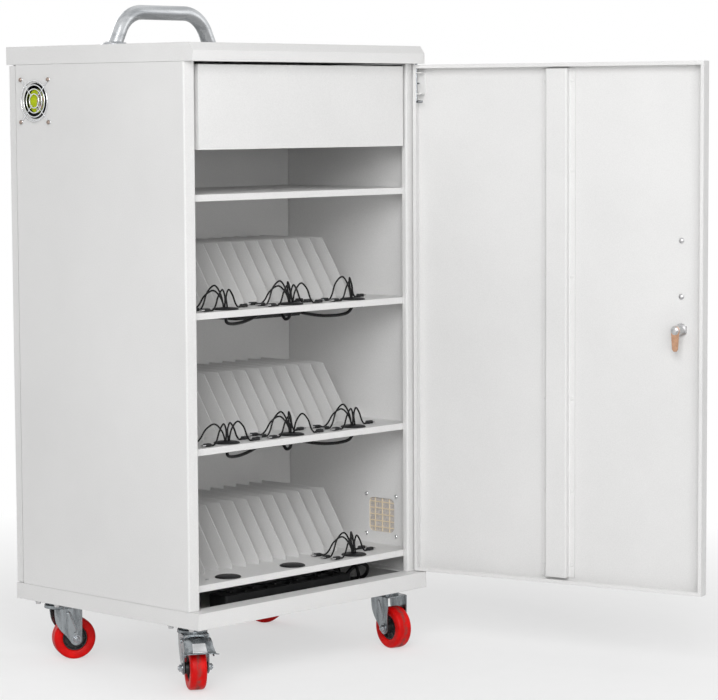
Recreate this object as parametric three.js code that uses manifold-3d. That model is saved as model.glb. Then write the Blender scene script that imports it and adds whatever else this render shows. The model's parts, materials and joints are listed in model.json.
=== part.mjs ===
// Charging cart on castors: a sheet-steel body with a front door, a rear door, a drawer,
// three divided shelves, a fan, a grille and charging leads.
// Millimetres, +Z up. The origin is the centre of the base pan's underside, the front faces -Y.
import * as THREE from "three";
import { mergeVertices } from "three/addons/utils/BufferGeometryUtils.js";
import Module from "manifold-3d";

const wasm = await Module();
wasm.setup();

// Body
const BODY_WIDTH = 600;
const BASE_DEPTH = 500;
const BODY_HEIGHT = 1035;
const BASE_HEIGHT = 30;
const CAP_HEIGHT = 33;
const DOOR_ZONE = 24;
const REAR_DOOR_ZONE = 18;
const CAP_REAR_LIP = 6;
const CAP_BEVEL_DEPTH = 11;
const CAP_BEVEL_HEIGHT = 14;
const SHEET = 1.2;
const BEND_RADIUS = 1.5;
const POST_FACE = 26;
const POST_RETURN = 11;
const BACK_WALL_FLANGE = 12;
const BASE_LEDGE = 4;

// Clearances
const FIT = 0.3;
const RUN = 0.5;
const PIN_PLAY = 0.3;

// Shelves and dividers: each shelf top lies below the one above it, the lowest above the base
const TOP_SHELF_DROP = 79;
const UPPER_SHELF_DROP = 209;
const MIDDLE_SHELF_DROP = 242;
const LOWER_SHELF_RISE = 42;
const SHELF_LIP = 12;
const DIVIDER_COUNT = 15;
const DIVIDER_PITCH = 35;
const DIVIDER_FIRST_GAP = 24;
const DIVIDER_THICKNESS = 1;
const DIVIDER_HEIGHT = 112;
const DIVIDER_SETBACK = 98;
const DIVIDER_SLOPE_RUN = 70;
const DIVIDER_FOOT_HEIGHT = 8;

// Grommets, chargers and leads
const GROMMET_FLANGE = 48;
const GROMMET_SLEEVE = 39.4;
const GROMMET_BORE = 34;
const GROMMET_RISE = 4;
const GROMMET_DROP = 14;
const GROMMET_SETBACK = 40;
const GROMMET_SPACING = 166;
const GROMMET_COVER = 2.5;
const GROMMET_BEVEL = 8;
const SLOT_LENGTH = 14;
const SLOT_WIDTH = 11;
const LEAD_DIAMETER = 3.2;
const TRUNK_DIAMETER = 6;
const LEAD_REACH = 58;
const LEAD_GAP = 5;
const PLUG = { length: 20, width: 9, height: 6 };
const CHARGER = { width: 170, depth: 80, height: 26, setback: 96 };
const PORT = { width: 13, height: 6, depth: 6, count: 6, pitch: 24 };
const STRIP = { width: 330, depth: 48, height: 34, setback: 70 };
const SUPPLY_CORD_DIAMETER = 7;
const SUPPLY_CORD_INSET = 17;
const SOCKET = { diameter: 34, depth: 10, count: 5, pitch: 58 };
const CASE_CORNER = 6;
const REAR_STRIP = { width: 330, depth: 40, height: 48, drop: 17 };

// Drawer and runners
const DRAWER_TOP_GAP = 5;
const DRAWER_FRONT_HEIGHT = 150;
const DRAWER_SIDE_GAP = 8.7;
const DRAWER_FRONT_DEPTH = 16;
const DRAWER_BACK_GAP = 21;
const DRAWER_BOX_HEIGHT = 96;
const DRAWER_BOX_LIFT = 10;
const RAIL_WIDTH = 11.5;
const RAIL_HEIGHT = 25;
const RAIL_SHORT = 18;
const RUNNER_FLANGE = 13;
const RUNNER_BEND = 0.4;

// Doors
const DOOR_SIDE_GAP = 2;
const DOOR_END_GAP = 2;
const DOOR_SEAT_GAP = 1.5;
const DOOR_LIP = 7;
const DOOR_OPEN_ANGLE = 103;
const PIVOT_INSET = 4;
const PIVOT_DEPTH = 6.5;
const PIVOT_PIN = 5;
const PIVOT_REACH = 5;
const STIFFENER = { face: 42, height: 12, flange: 13, endGap: 10, sheet: 1 };
const LOCK_INSET = 51;
const LOCK_DROP = 520;
const LOCK_BARREL = 19;
const LOCK_FLANGE = 23;
const LOCK_NUT = 25;
const CAM = { length: 38, width: 16, thickness: 2, offset: 2.5 };
const HANDLE_RISE = 111;
const HANDLE_SPACING = 102;
const HANDLE_STANDOFF = 30;
const HANDLE_ROD = 10;
const BOLT = { length: 72, grip: 13, ear: 2, earSpan: 42, earWidth: 12, top: 14, stop: 3, stopReach: 7 };

// Fan, grille and inlet
const FAN = { size: 88, depth: 25, bore: 80, opening: 66, hub: 46, holes: 78, gap: 5, margin: 14, drop: 67 };
const FAN_BLADES = 7;
const BLADE = { root: 14, tip: 19, thickness: 1.6, pitch: -38, tipGap: 1.8 };
const GUARD = { wire: 2.2, rings: [13, 22, 29.5, 37], eye: 9 };
const VENT = { opening: 66, corner: 10, plate: 88, thickness: 4, bar: 3, setback: 91, level: 129 };
const VENT_COLUMNS = 4;
const VENT_ROWS = 5;
const INLET = { width: 27, height: 19.5, flange: 50, lip: 2.5, depth: 22, inset: 58, level: 90 };

// Push handle
const PUSH = { spacing: 250, rise: 67, tube: 28, lean: 25, bend: 62, setback: 378, foot: 50, footHeight: 8 };

// Castors
const CASTOR_HEIGHT = 115;
const CASTOR_INSET_X = 46;
const CASTOR_INSET_Y = 66;
const CASTOR_PLATE = 70;
const CASTOR_PLATE_THICKNESS = 3;
const RACE_RADIUS = 24;
const RACE_HEIGHT = 10;
const KING_PIN = 10;
const KING_HEAD = 17;
const WHEEL_DIAMETER = 80;
const WHEEL_WIDTH = 30;
const CASTOR_TRAIL = 28;
const FORK_SHEET = 2.6;
const FORK_SIDE_GAP = 6;
const AXLE = 8;
const HUB_BOSS = 11;
const CORE_SHARE = 0.58;
const PEDAL = { width: 64, waist: 54, flare: 22, sheet: 2, pin: 5, pivotY: -32 };
const CASTOR_HEADINGS = { front_left: -33, front_right: -11, rear_left: 62, rear_right: 30 };

// Derived places
const HALF = BODY_WIDTH / 2;
const BASE_FRONT = -BASE_DEPTH / 2;
const BASE_REAR = BASE_DEPTH / 2;
const FRONT = BASE_FRONT + DOOR_ZONE;
const REAR = BASE_REAR - REAR_DOOR_ZONE;
const INNER = HALF - SHEET;
const CAP_BOTTOM = BODY_HEIGHT - CAP_HEIGHT;
const DRAWER_FRONT_BOTTOM = CAP_BOTTOM - DRAWER_TOP_GAP - DRAWER_FRONT_HEIGHT;
const TOP_SHELF_HEIGHT = DRAWER_FRONT_BOTTOM - TOP_SHELF_DROP;
const UPPER_SHELF_HEIGHT = TOP_SHELF_HEIGHT - UPPER_SHELF_DROP;
const SHELF_HEIGHTS = {
  upper: UPPER_SHELF_HEIGHT,
  middle: UPPER_SHELF_HEIGHT - MIDDLE_SHELF_DROP,
  lower: BASE_HEIGHT + LOWER_SHELF_RISE,
};
const LOCK_HEIGHT = BODY_HEIGHT - LOCK_DROP;
const HANDLE_HEIGHT = LOCK_HEIGHT + HANDLE_RISE;
const FAN_LEVEL = CAP_BOTTOM - FAN.drop;
const REAR_STRIP_LEVEL = SHELF_HEIGHTS.middle - REAR_STRIP.drop;
const PANEL_BOTTOM = BASE_HEIGHT + FIT;
const PANEL_TOP = CAP_BOTTOM - FIT;
const FAN_Y = REAR - FAN.margin - FAN.size / 2;
const BACK_WALL = FAN_Y - FAN.size / 2 - FAN.gap - BACK_WALL_FLANGE;
const DRAWER_BOX_DEPTH = BACK_WALL - DRAWER_BACK_GAP - FRONT;
const RAIL_LENGTH = DRAWER_BOX_DEPTH - RAIL_SHORT;
const SHELF_FRONT = FRONT + POST_RETURN + FIT;
const SHELF_REAR = BACK_WALL - FIT;
const GROMMET_Y = FRONT + GROMMET_SETBACK;
const BASE_FLANGE = DOOR_ZONE + POST_RETURN + BASE_LEDGE;
const SHEET_EDGE = SHEET + FIT;

const FINISHES = {
  paint: { color: 0xe1e0de, roughness: 0.55, metalness: 0.1 },
  black: { color: 0x16171a, roughness: 0.5, metalness: 0 },
  chrome: { color: 0xc9cccf, roughness: 0.16, metalness: 1 },
  zinc: { color: 0x8f9499, roughness: 0.35, metalness: 0.9 },
  brass: { color: 0xb98a5a, roughness: 0.35, metalness: 0.9 },
  red: { color: 0xd00a06, roughness: 0.42, metalness: 0 },
  cream: { color: 0xe3cfa8, roughness: 0.6, metalness: 0 },
};

// Geometry helpers

function solid(geometry) {
  const bare = geometry.index ? geometry.toNonIndexed() : geometry.clone();
  bare.deleteAttribute("normal");
  bare.deleteAttribute("uv");
  const merged = mergeVertices(bare, 1e-4);
  return new wasm.Manifold(new wasm.Mesh({
    numProp: 3,
    vertProperties: new Float32Array(merged.attributes.position.array),
    triVerts: new Uint32Array(merged.index.array),
  }));
}

function union(...geometries) {
  let body = solid(geometries[0]);
  for (const geometry of geometries.slice(1)) body = body.add(solid(geometry));
  return fromSolid(body);
}

function cut(geometry, ...tools) {
  let body = solid(geometry);
  for (const tool of tools) body = body.subtract(solid(tool));
  return fromSolid(body);
}

function fromSolid(body) {
  const mesh = body.getMesh();
  const geometry = new THREE.BufferGeometry();
  geometry.setAttribute("position", new THREE.BufferAttribute(new Float32Array(mesh.vertProperties), 3));
  geometry.setIndex(new THREE.BufferAttribute(new Uint32Array(mesh.triVerts), 1));
  return geometry;
}

function block(x0, x1, y0, y1, z0, z1) {
  const geometry = new THREE.BoxGeometry(x1 - x0, y1 - y0, z1 - z0);
  return geometry.translate((x0 + x1) / 2, (y0 + y1) / 2, (z0 + z1) / 2);
}

function shapeOf(points) {
  return new THREE.Shape(points.map(([a, b]) => new THREE.Vector2(a, b)));
}

function prism(shape, length) {
  return new THREE.ExtrudeGeometry(shape, { depth: length, bevelEnabled: false, curveSegments: 3, steps: 1 });
}

// An outline in X and Y, raised from z0 to z1
function prismZ(shape, z0, z1) {
  return prism(shape, z1 - z0).translate(0, 0, z0);
}

// An outline in Y and Z, run from x0 to x1
function prismX(shape, x0, x1) {
  const turn = new THREE.Matrix4().makeBasis(
    new THREE.Vector3(0, 1, 0),
    new THREE.Vector3(0, 0, 1),
    new THREE.Vector3(1, 0, 0),
  );
  return prism(shape, x1 - x0).applyMatrix4(turn).translate(x0, 0, 0);
}

// An outline in X and Z, run from y0 to y1
function prismY(shape, y0, y1) {
  const turn = new THREE.Matrix4().makeBasis(
    new THREE.Vector3(1, 0, 0),
    new THREE.Vector3(0, 0, 1),
    new THREE.Vector3(0, -1, 0),
  );
  return prism(shape, y1 - y0).applyMatrix4(turn).translate(0, y1, 0);
}

function rodZ(radius, x, y, z0, z1, sides = 16) {
  const rod = new THREE.CylinderGeometry(radius, radius, z1 - z0, sides);
  return rod.rotateX(Math.PI / 2).translate(x, y, (z0 + z1) / 2);
}

function rodX(radius, y, z, x0, x1, sides = 16) {
  const rod = new THREE.CylinderGeometry(radius, radius, x1 - x0, sides);
  return rod.rotateZ(Math.PI / 2).translate((x0 + x1) / 2, y, z);
}

function rodY(radius, x, z, y0, y1, sides = 16) {
  const rod = new THREE.CylinderGeometry(radius, radius, y1 - y0, sides);
  return rod.translate(x, (y0 + y1) / 2, z);
}

// Outline of a bent sheet: the path is one face and the sheet lies on its left
function foldedSheet(path, thickness = SHEET, bend = BEND_RADIUS, steps = 2) {
  const points = path.map(([a, b]) => new THREE.Vector2(a, b));
  const heading = (i) => points[i + 1].clone().sub(points[i]).normalize();
  const left = (d) => new THREE.Vector2(-d.y, d.x);
  const face = [points[0].clone()];
  const back = [points[0].clone().addScaledVector(left(heading(0)), thickness)];
  for (let i = 1; i < points.length - 1; i += 1) {
    const before = heading(i - 1);
    const after = heading(i);
    const turn = Math.atan2(before.cross(after), before.dot(after));
    const side = Math.sign(turn);
    const faceRadius = side > 0 ? bend + thickness : bend;
    const backRadius = side > 0 ? bend : bend + thickness;
    const start = points[i].clone().addScaledVector(before, -faceRadius * Math.tan(Math.abs(turn) / 2));
    const centre = start.clone().addScaledVector(left(before), side * faceRadius);
    for (let k = 0; k <= steps; k += 1) {
      const arm = start.clone().sub(centre).rotateAround(new THREE.Vector2(), (turn * k) / steps);
      face.push(centre.clone().add(arm));
      back.push(centre.clone().addScaledVector(arm, backRadius / faceRadius));
    }
  }
  const last = points.length - 1;
  face.push(points[last].clone());
  back.push(points[last].clone().addScaledVector(left(heading(last - 1)), thickness));
  return new THREE.Shape([...face, ...back.reverse()]);
}

function mirrored(shape) {
  return new THREE.Shape(shape.getPoints(1).map((p) => new THREE.Vector2(-p.x, p.y)));
}

function roundedSquare(width, height, corner, a = 0, b = 0) {
  const shape = new THREE.Shape();
  const [w, h] = [width / 2, height / 2];
  shape.absarc(a + w - corner, b + h - corner, corner, 0, Math.PI / 2);
  shape.absarc(a - w + corner, b + h - corner, corner, Math.PI / 2, Math.PI);
  shape.absarc(a - w + corner, b - h + corner, corner, Math.PI, Math.PI * 1.5);
  shape.absarc(a + w - corner, b - h + corner, corner, Math.PI * 1.5, Math.PI * 2);
  return shape;
}

function circleShape(radius, sides, a = 0, b = 0) {
  const points = [];
  for (let i = 0; i < sides; i += 1) {
    const angle = (2 * Math.PI * (i + 0.5)) / sides;
    points.push([a + radius * Math.cos(angle), b + radius * Math.sin(angle)]);
  }
  return shapeOf(points);
}

// A revolved piece about Z: its profile of radius and height runs from the bottom up the outside
function revolve(profile, segments) {
  const points = profile.map(([r, z]) => new THREE.Vector2(r, z));
  return new THREE.LatheGeometry(points, segments).rotateX(Math.PI / 2);
}

function tube(points, radius, sides, steps) {
  const route = new THREE.CatmullRomCurve3(points.map((p) => new THREE.Vector3(...p)), false, "centripetal");
  const section = circleShape(radius, sides);
  return new THREE.ExtrudeGeometry(section, { steps, extrudePath: route, bevelEnabled: false });
}

const cart = new THREE.Group();

function place(parent, name, finish, geometry) {
  const mesh = new THREE.Mesh(geometry, new THREE.MeshStandardMaterial(FINISHES[finish]));
  mesh.name = name;
  parent.add(mesh);
  return mesh;
}

function groupAt(parent, x, y, z, turnDegrees = 0) {
  const group = new THREE.Group();
  group.position.set(x, y, z);
  group.rotation.z = THREE.MathUtils.degToRad(turnDegrees);
  parent.add(group);
  return group;
}

// Body shell

const PIVOT_X = HALF - DOOR_SIDE_GAP - PIVOT_INSET;
const FRONT_PIVOT_Y = FRONT - DOOR_SEAT_GAP - PIVOT_DEPTH;
const REAR_PIVOT_Y = REAR + DOOR_SEAT_GAP + PIVOT_DEPTH;
const PIVOT_HOLE = PIVOT_PIN / 2 + PIN_PLAY;

// The front door turns on the right, the rear door on the left
function pivotHoles(z0, z1) {
  return [
    rodZ(PIVOT_HOLE, PIVOT_X, FRONT_PIVOT_Y, z0, z1, 12),
    rodZ(PIVOT_HOLE, -PIVOT_X, REAR_PIVOT_Y, z0, z1, 12),
  ];
}

function basePan() {
  const outer = block(-HALF, HALF, BASE_FRONT, BASE_REAR, 0, BASE_HEIGHT);
  const hollow = block(-INNER, INNER, BASE_FRONT + SHEET, BASE_REAR - SHEET, SHEET, BASE_HEIGHT - SHEET);
  const mouthX = HALF - POST_FACE - SHEET;
  const mouth = block(
    -mouthX,
    mouthX,
    BASE_FRONT + BASE_FLANGE,
    BASE_REAR - BASE_FLANGE,
    SHEET,
    BASE_HEIGHT + 1,
  );
  return cut(outer, hollow, mouth, ...pivotHoles(BASE_HEIGHT / 2, BASE_HEIGHT + 1));
}

function topCap() {
  const rear = BASE_REAR + CAP_REAR_LIP;
  const outline = shapeOf([
    [BASE_FRONT, CAP_BOTTOM],
    [rear, CAP_BOTTOM],
    [rear, BODY_HEIGHT],
    [BASE_FRONT + CAP_BEVEL_DEPTH, BODY_HEIGHT],
    [BASE_FRONT, BODY_HEIGHT - CAP_BEVEL_HEIGHT],
  ]);
  const inside = shapeOf([
    [BASE_FRONT + SHEET, CAP_BOTTOM + SHEET],
    [rear - SHEET, CAP_BOTTOM + SHEET],
    [rear - SHEET, BODY_HEIGHT - SHEET],
    [BASE_FRONT + CAP_BEVEL_DEPTH + SHEET, BODY_HEIGHT - SHEET],
    [BASE_FRONT + SHEET, BODY_HEIGHT - CAP_BEVEL_HEIGHT - SHEET],
  ]);
  const mouth = block(-INNER, INNER, FRONT + SHEET, REAR - SHEET, CAP_BOTTOM - 1, CAP_BOTTOM + 2 * SHEET);
  const holes = pivotHoles(CAP_BOTTOM - 1, CAP_BOTTOM + CAP_HEIGHT / 2);
  return cut(prismX(outline, -HALF, HALF), prismX(inside, -INNER, INNER), mouth, ...holes);
}

function sidePanelShape() {
  return foldedSheet([
    [-HALF + POST_FACE, REAR],
    [-HALF, REAR],
    [-HALF, FRONT],
    [-HALF + POST_FACE, FRONT],
    [-HALF + POST_FACE, FRONT + POST_RETURN],
  ]);
}

function leftSidePanel() {
  const panel = prismZ(sidePanelShape(), PANEL_BOTTOM, PANEL_TOP);
  const fanHole = prismX(circleShape(FAN.opening / 2, 32, FAN_Y, FAN_LEVEL), -HALF - 1, -INNER + 1);
  const slot = block(
    -HALF + POST_FACE - 2 * SHEET - BEND_RADIUS,
    -HALF + POST_FACE + 1,
    FRONT + SHEET,
    FRONT + POST_RETURN + 1,
    LOCK_HEIGHT - CAM.width,
    LOCK_HEIGHT + CAM.width,
  );
  return cut(panel, fanHole, slot);
}

const VENT_Y = FRONT + VENT.setback;
const INLET_Y = REAR - INLET.inset;

function rightSidePanel() {
  const panel = prismZ(mirrored(sidePanelShape()), PANEL_BOTTOM, PANEL_TOP);
  const ventShape = roundedSquare(VENT.opening, VENT.opening, VENT.corner, VENT_Y, VENT.level);
  const inletShape = roundedSquare(INLET.width + 2 * FIT, INLET.height + 2 * FIT, 2, INLET_Y, INLET.level);
  const tools = [ventShape, inletShape].map((shape) => prismX(shape, INNER - 1, HALF + 1));
  return cut(panel, ...tools);
}

function innerBackWall() {
  const edge = INNER - FIT;
  const shape = foldedSheet([
    [-edge, BACK_WALL + BACK_WALL_FLANGE],
    [-edge, BACK_WALL],
    [edge, BACK_WALL],
    [edge, BACK_WALL + BACK_WALL_FLANGE],
  ]);
  return prismZ(shape, PANEL_BOTTOM, BODY_HEIGHT - SHEET_EDGE);
}

// Shelves

function shelfTray(top) {
  const edge = INNER - FIT;
  const tray = block(-edge, edge, SHELF_FRONT, SHELF_REAR, top - SHELF_LIP, top);
  const hollow = block(
    -edge + SHEET,
    edge - SHEET,
    SHELF_FRONT + SHEET,
    SHELF_REAR - SHEET,
    top - SHELF_LIP - 1,
    top - SHEET,
  );
  return cut(tray, hollow);
}

function dividerShape(top) {
  const front = FRONT + DIVIDER_SETBACK;
  const rear = SHELF_REAR - SHEET;
  return shapeOf([
    [front, top - SHEET / 2],
    [rear, top - SHEET / 2],
    [rear, top + DIVIDER_HEIGHT],
    [front + DIVIDER_SLOPE_RUN, top + DIVIDER_HEIGHT],
    [front, top + DIVIDER_FOOT_HEIGHT],
  ]);
}

const GROMMET_PLACES = { left: -GROMMET_SPACING, centre: 0, right: GROMMET_SPACING };

function dividedShelf(top) {
  const holes = Object.values(GROMMET_PLACES).map((x) =>
    rodZ(GROMMET_SLEEVE / 2 + FIT, x, GROMMET_Y, top - SHELF_LIP - 1, top + 1, 20));
  let body = solid(cut(shelfTray(top), ...holes));
  for (let i = 0; i < DIVIDER_COUNT; i += 1) {
    const x = -INNER + DIVIDER_FIRST_GAP + i * DIVIDER_PITCH;
    body = body.add(solid(prismX(dividerShape(top), x - DIVIDER_THICKNESS / 2, x + DIVIDER_THICKNESS / 2)));
  }
  return fromSolid(body);
}

// Grommets: a flanged sleeve with a domed cover, slotted where leads come out

function grommet(open) {
  const flange = GROMMET_FLANGE / 2;
  const sleeve = GROMMET_SLEEVE / 2;
  const bore = GROMMET_BORE / 2;
  const body = revolve([
    [0, GROMMET_RISE - GROMMET_COVER],
    [bore, GROMMET_RISE - GROMMET_COVER],
    [bore, -GROMMET_DROP],
    [sleeve, -GROMMET_DROP],
    [sleeve, FIT],
    [flange, FIT],
    [flange - 1, GROMMET_RISE / 2],
    [flange - GROMMET_BEVEL, GROMMET_RISE],
    [0, GROMMET_RISE],
  ], 16);
  if (!open) return body;
  const [length, width] = [SLOT_LENGTH / 2, SLOT_WIDTH / 2];
  return cut(body, block(-length, length, -width, width, -1, GROMMET_RISE + 1));
}

// Charging leads: routes from the grommet, heights from the shelf top

const LYING = LEAD_DIAMETER / 2 + FIT;
const LEAD_ROUTES = {
  leftFront: [
    [-4, -2.6, 6], [-6, -5, 24], [-16, -9, 37], [-29, -12, 26],
    [-38, -13, 8], [-45, -13.5, LYING], [-56, -14, LYING],
  ],
  leftMiddle: [
    [-4.6, 0.6, 6], [-7, 5, 28], [-18, 9, 44], [-33, 12, 33],
    [-43, 13, 10], [-50, 13, LYING], [-58, 12, LYING],
  ],
  leftRear: [
    [-1.7, 3.2, 6], [-3, 10, 22], [-11, 20, 34], [-24, 29, 25],
    [-34, 34, 8], [-42, 36, LYING], [-53, 38, LYING],
  ],
  rightFront: [
    [4, -2.6, 6], [7, -6, 26], [18, -10, 39], [31, -12, 28],
    [40, -13, 8], [47, -13, LYING], [57, -12, LYING],
  ],
  rightMiddle: [
    [4.6, 0.6, 6], [6, 4, 23], [16, 8, 35], [28, 11, 25],
    [37, 12, 8], [44, 13, LYING], [54, 14, LYING],
  ],
  rightRear: [
    [1.8, 3.2, 6], [4, 11, 26], [14, 21, 40], [28, 30, 30],
    [38, 35, 9], [45, 37, LYING], [56, 38, LYING],
  ],
};
const LEAD_SETS = {
  upper_left: ["leftFront", "leftMiddle", "leftRear", "rightMiddle"],
  upper_centre: ["leftFront", "leftMiddle", "leftRear", "rightFront", "rightMiddle", "rightRear"],
  upper_right: ["leftFront", "leftMiddle", "rightRear"],
  middle_left: ["leftFront", "leftRear", "rightFront", "rightMiddle"],
  middle_centre: ["leftFront", "leftMiddle", "leftRear", "rightFront", "rightRear"],
  middle_right: ["leftFront", "leftMiddle", "leftRear", "rightMiddle"],
  lower_right: ["leftFront", "leftMiddle", "leftRear", "rightMiddle", "rightRear"],
};
const LEAD_SPREAD = (GROMMET_SPACING / 2 - PLUG.length - LEAD_GAP) / LEAD_REACH;
const LEAD_STEPS = 6;
const LEAD_SIDES = 6;
const TRUNK_STEPS = 7;
const TRUNK_SIDES = 8;
const STEM = { length: 12, width: 9, top: 7 };

function plug(route) {
  const end = new THREE.Vector3(...route.at(-1));
  const before = new THREE.Vector3(...route.at(-2));
  const heading = Math.atan2(end.y - before.y, end.x - before.x);
  const body = block(-2, PLUG.length, -PLUG.width / 2, PLUG.width / 2, FIT, FIT + PLUG.height);
  return body.rotateZ(heading).translate(end.x, end.y, 0);
}

function leadBundle(routes, trunkRoute) {
  const stem = block(
    -STEM.length / 2,
    STEM.length / 2,
    -STEM.width / 2,
    STEM.width / 2,
    -GROMMET_DROP,
    STEM.top,
  );
  let body = solid(stem).add(solid(tube(trunkRoute, TRUNK_DIAMETER / 2, TRUNK_SIDES, TRUNK_STEPS)));
  for (const route of routes) {
    body = body.add(solid(tube(route, LEAD_DIAMETER / 2, LEAD_SIDES, LEAD_STEPS)));
    body = body.add(solid(plug(route)));
  }
  return fromSolid(body);
}

// Chargers hang under the shelves, the strip lies in the base

const CHARGER_FRONT = FRONT + CHARGER.setback;

function charger(top) {
  const roof = top - SHEET_EDGE;
  const body = prismZ(
    roundedSquare(CHARGER.width, CHARGER.depth, CASE_CORNER, 0, CHARGER_FRONT + CHARGER.depth / 2),
    roof - CHARGER.height,
    roof,
  );
  const ports = [];
  for (let i = 0; i < PORT.count; i += 1) {
    const x = (i - (PORT.count - 1) / 2) * PORT.pitch;
    const z = roof - CHARGER.height / 2;
    ports.push(block(
      x - PORT.width / 2,
      x + PORT.width / 2,
      CHARGER_FRONT - 1,
      CHARGER_FRONT + PORT.depth,
      z - PORT.height / 2,
      z + PORT.height / 2,
    ));
  }
  return cut(body, ...ports);
}

const STRIP_Y = FRONT + STRIP.setback;

function socketHoles(count, pitch, make) {
  return Array.from({ length: count }, (_, i) => make((i - (count - 1) / 2) * pitch));
}

function powerStrip() {
  const top = SHEET_EDGE + STRIP.height;
  const outline = roundedSquare(STRIP.width, STRIP.depth, CASE_CORNER, 0, STRIP_Y);
  const body = prismZ(outline, SHEET_EDGE, top);
  const holes = socketHoles(SOCKET.count, SOCKET.pitch, (x) =>
    rodZ(SOCKET.diameter / 2, x, STRIP_Y, top - SOCKET.depth, top + 1, 16));
  return cut(body, ...holes);
}

// The strip's supply cord rises in two loops beside the strip, then runs back to the inlet
function supplyCord() {
  const strip = STRIP.width / 2 + FIT;
  const lying = SHEET_EDGE + SUPPLY_CORD_DIAMETER / 2;
  const inlet = HALF + 1 - INLET.depth;
  const run = inlet - SUPPLY_CORD_INSET;
  const along = (share) => strip + share * (run - strip);
  return tube([
    [strip, STRIP_Y + 10, lying + 19],
    [along(0.16), STRIP_Y + 10, lying + 19],
    [along(0.36), STRIP_Y + 6, lying + 34],
    [along(0.59), STRIP_Y + 4, lying + 40],
    [along(0.84), STRIP_Y + 10, lying + 28],
    [along(0.95), STRIP_Y + 31, lying + 7],
    [along(0.78), STRIP_Y + 56, lying + 1],
    [along(0.51), STRIP_Y + 58, lying + 5],
    [along(0.32), STRIP_Y + 44, lying + 23],
    [along(0.26), STRIP_Y + 56, lying + 39],
    [along(0.41), STRIP_Y + 72, lying + 41],
    [along(0.69), STRIP_Y + 78, lying + 25],
    [along(0.92), STRIP_Y + 96, lying + 4],
    [run, STRIP_Y + 136, lying + 2],
    [run, BACK_WALL - 23, lying + 2],
    [run, INLET_Y - 34, lying + 5],
    [run - 4, INLET_Y - 6, lying + 35],
    [run - 2, INLET_Y, INLET.level - 12],
    [inlet - 9, INLET_Y, INLET.level],
    [inlet, INLET_Y, INLET.level],
  ], SUPPLY_CORD_DIAMETER / 2, 8, 64);
}

function rearSocketStrip() {
  const near = BACK_WALL + SHEET_EDGE;
  const far = near + REAR_STRIP.depth;
  const outline = roundedSquare(REAR_STRIP.width, REAR_STRIP.height, CASE_CORNER, 0, REAR_STRIP_LEVEL);
  const holes = socketHoles(SOCKET.count, SOCKET.pitch, (x) =>
    rodY(SOCKET.diameter / 2, x, REAR_STRIP_LEVEL, far - SOCKET.depth, far + 1, 16));
  return cut(prismY(outline, near, far), ...holes);
}

// Drawer: a front with folded returns, a box and a rail on each side, on channel runners

const DRAWER_HALF = HALF - POST_FACE - DRAWER_SIDE_GAP;
const RAIL_OUT = HALF - POST_FACE - RUN;
const BOX_HALF = RAIL_OUT - RAIL_WIDTH;
const RAIL_LEVEL = DRAWER_FRONT_BOTTOM + DRAWER_BOX_LIFT + DRAWER_BOX_HEIGHT / 2;
const RAIL_FRONT = FRONT + DRAWER_FRONT_DEPTH + RUN;

function drawerBox() {
  const frontTop = DRAWER_FRONT_BOTTOM + DRAWER_FRONT_HEIGHT;
  const frontRear = FRONT + DRAWER_FRONT_DEPTH;
  const front = cut(
    block(-DRAWER_HALF, DRAWER_HALF, FRONT, frontRear, DRAWER_FRONT_BOTTOM, frontTop),
    block(
      -DRAWER_HALF + SHEET,
      DRAWER_HALF - SHEET,
      FRONT + SHEET,
      frontRear + 1,
      DRAWER_FRONT_BOTTOM + SHEET,
      frontTop - SHEET,
    ),
  );
  const boxBottom = DRAWER_FRONT_BOTTOM + DRAWER_BOX_LIFT;
  const boxTop = boxBottom + DRAWER_BOX_HEIGHT;
  const boxFront = FRONT + SHEET / 2;
  const boxRear = boxFront + DRAWER_BOX_DEPTH;
  const box = cut(
    block(-BOX_HALF, BOX_HALF, boxFront, boxRear, boxBottom, boxTop),
    block(
      -BOX_HALF + SHEET,
      BOX_HALF - SHEET,
      boxFront + SHEET,
      boxRear - SHEET,
      boxBottom + SHEET,
      boxTop + 1,
    ),
  );
  const rails = [-1, 1].map((side) => {
    const [a, b] = [side * (BOX_HALF - SHEET / 2), side * RAIL_OUT].sort((p, q) => p - q);
    return block(
      a,
      b,
      RAIL_FRONT,
      RAIL_FRONT + RAIL_LENGTH,
      RAIL_LEVEL - RAIL_HEIGHT / 2,
      RAIL_LEVEL + RAIL_HEIGHT / 2,
    );
  });
  return union(front, box, ...rails);
}

function runnerShape() {
  const web = -RAIL_OUT - RUN;
  const tip = -BOX_HALF - RUN;
  const wall = -INNER + FIT;
  const low = RAIL_LEVEL - RAIL_HEIGHT / 2 - FIT;
  const high = RAIL_LEVEL + RAIL_HEIGHT / 2 + FIT;
  const channel = foldedSheet([
    [tip, low - SHEET],
    [web - SHEET, low - SHEET],
    [web - SHEET, high + SHEET],
    [tip, high + SHEET],
  ].reverse(), SHEET, RUNNER_BEND, 1);
  const spacer = foldedSheet([
    [wall, low - RUNNER_FLANGE],
    [wall, low],
    [web - SHEET, low],
    [web - SHEET, high],
    [wall, high],
    [wall, high + RUNNER_FLANGE],
  ].reverse(), SHEET, RUNNER_BEND, 1);
  return [channel, spacer];
}

function drawerRunner(side) {
  const shapes = runnerShape().map((shape) => (side < 0 ? shape : mirrored(shape)));
  const lengths = shapes.map((shape) => prismY(shape, RAIL_FRONT, RAIL_FRONT + RAIL_LENGTH));
  return union(...lengths);
}

// Doors are folded trays, modelled shut about their pivot

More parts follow.
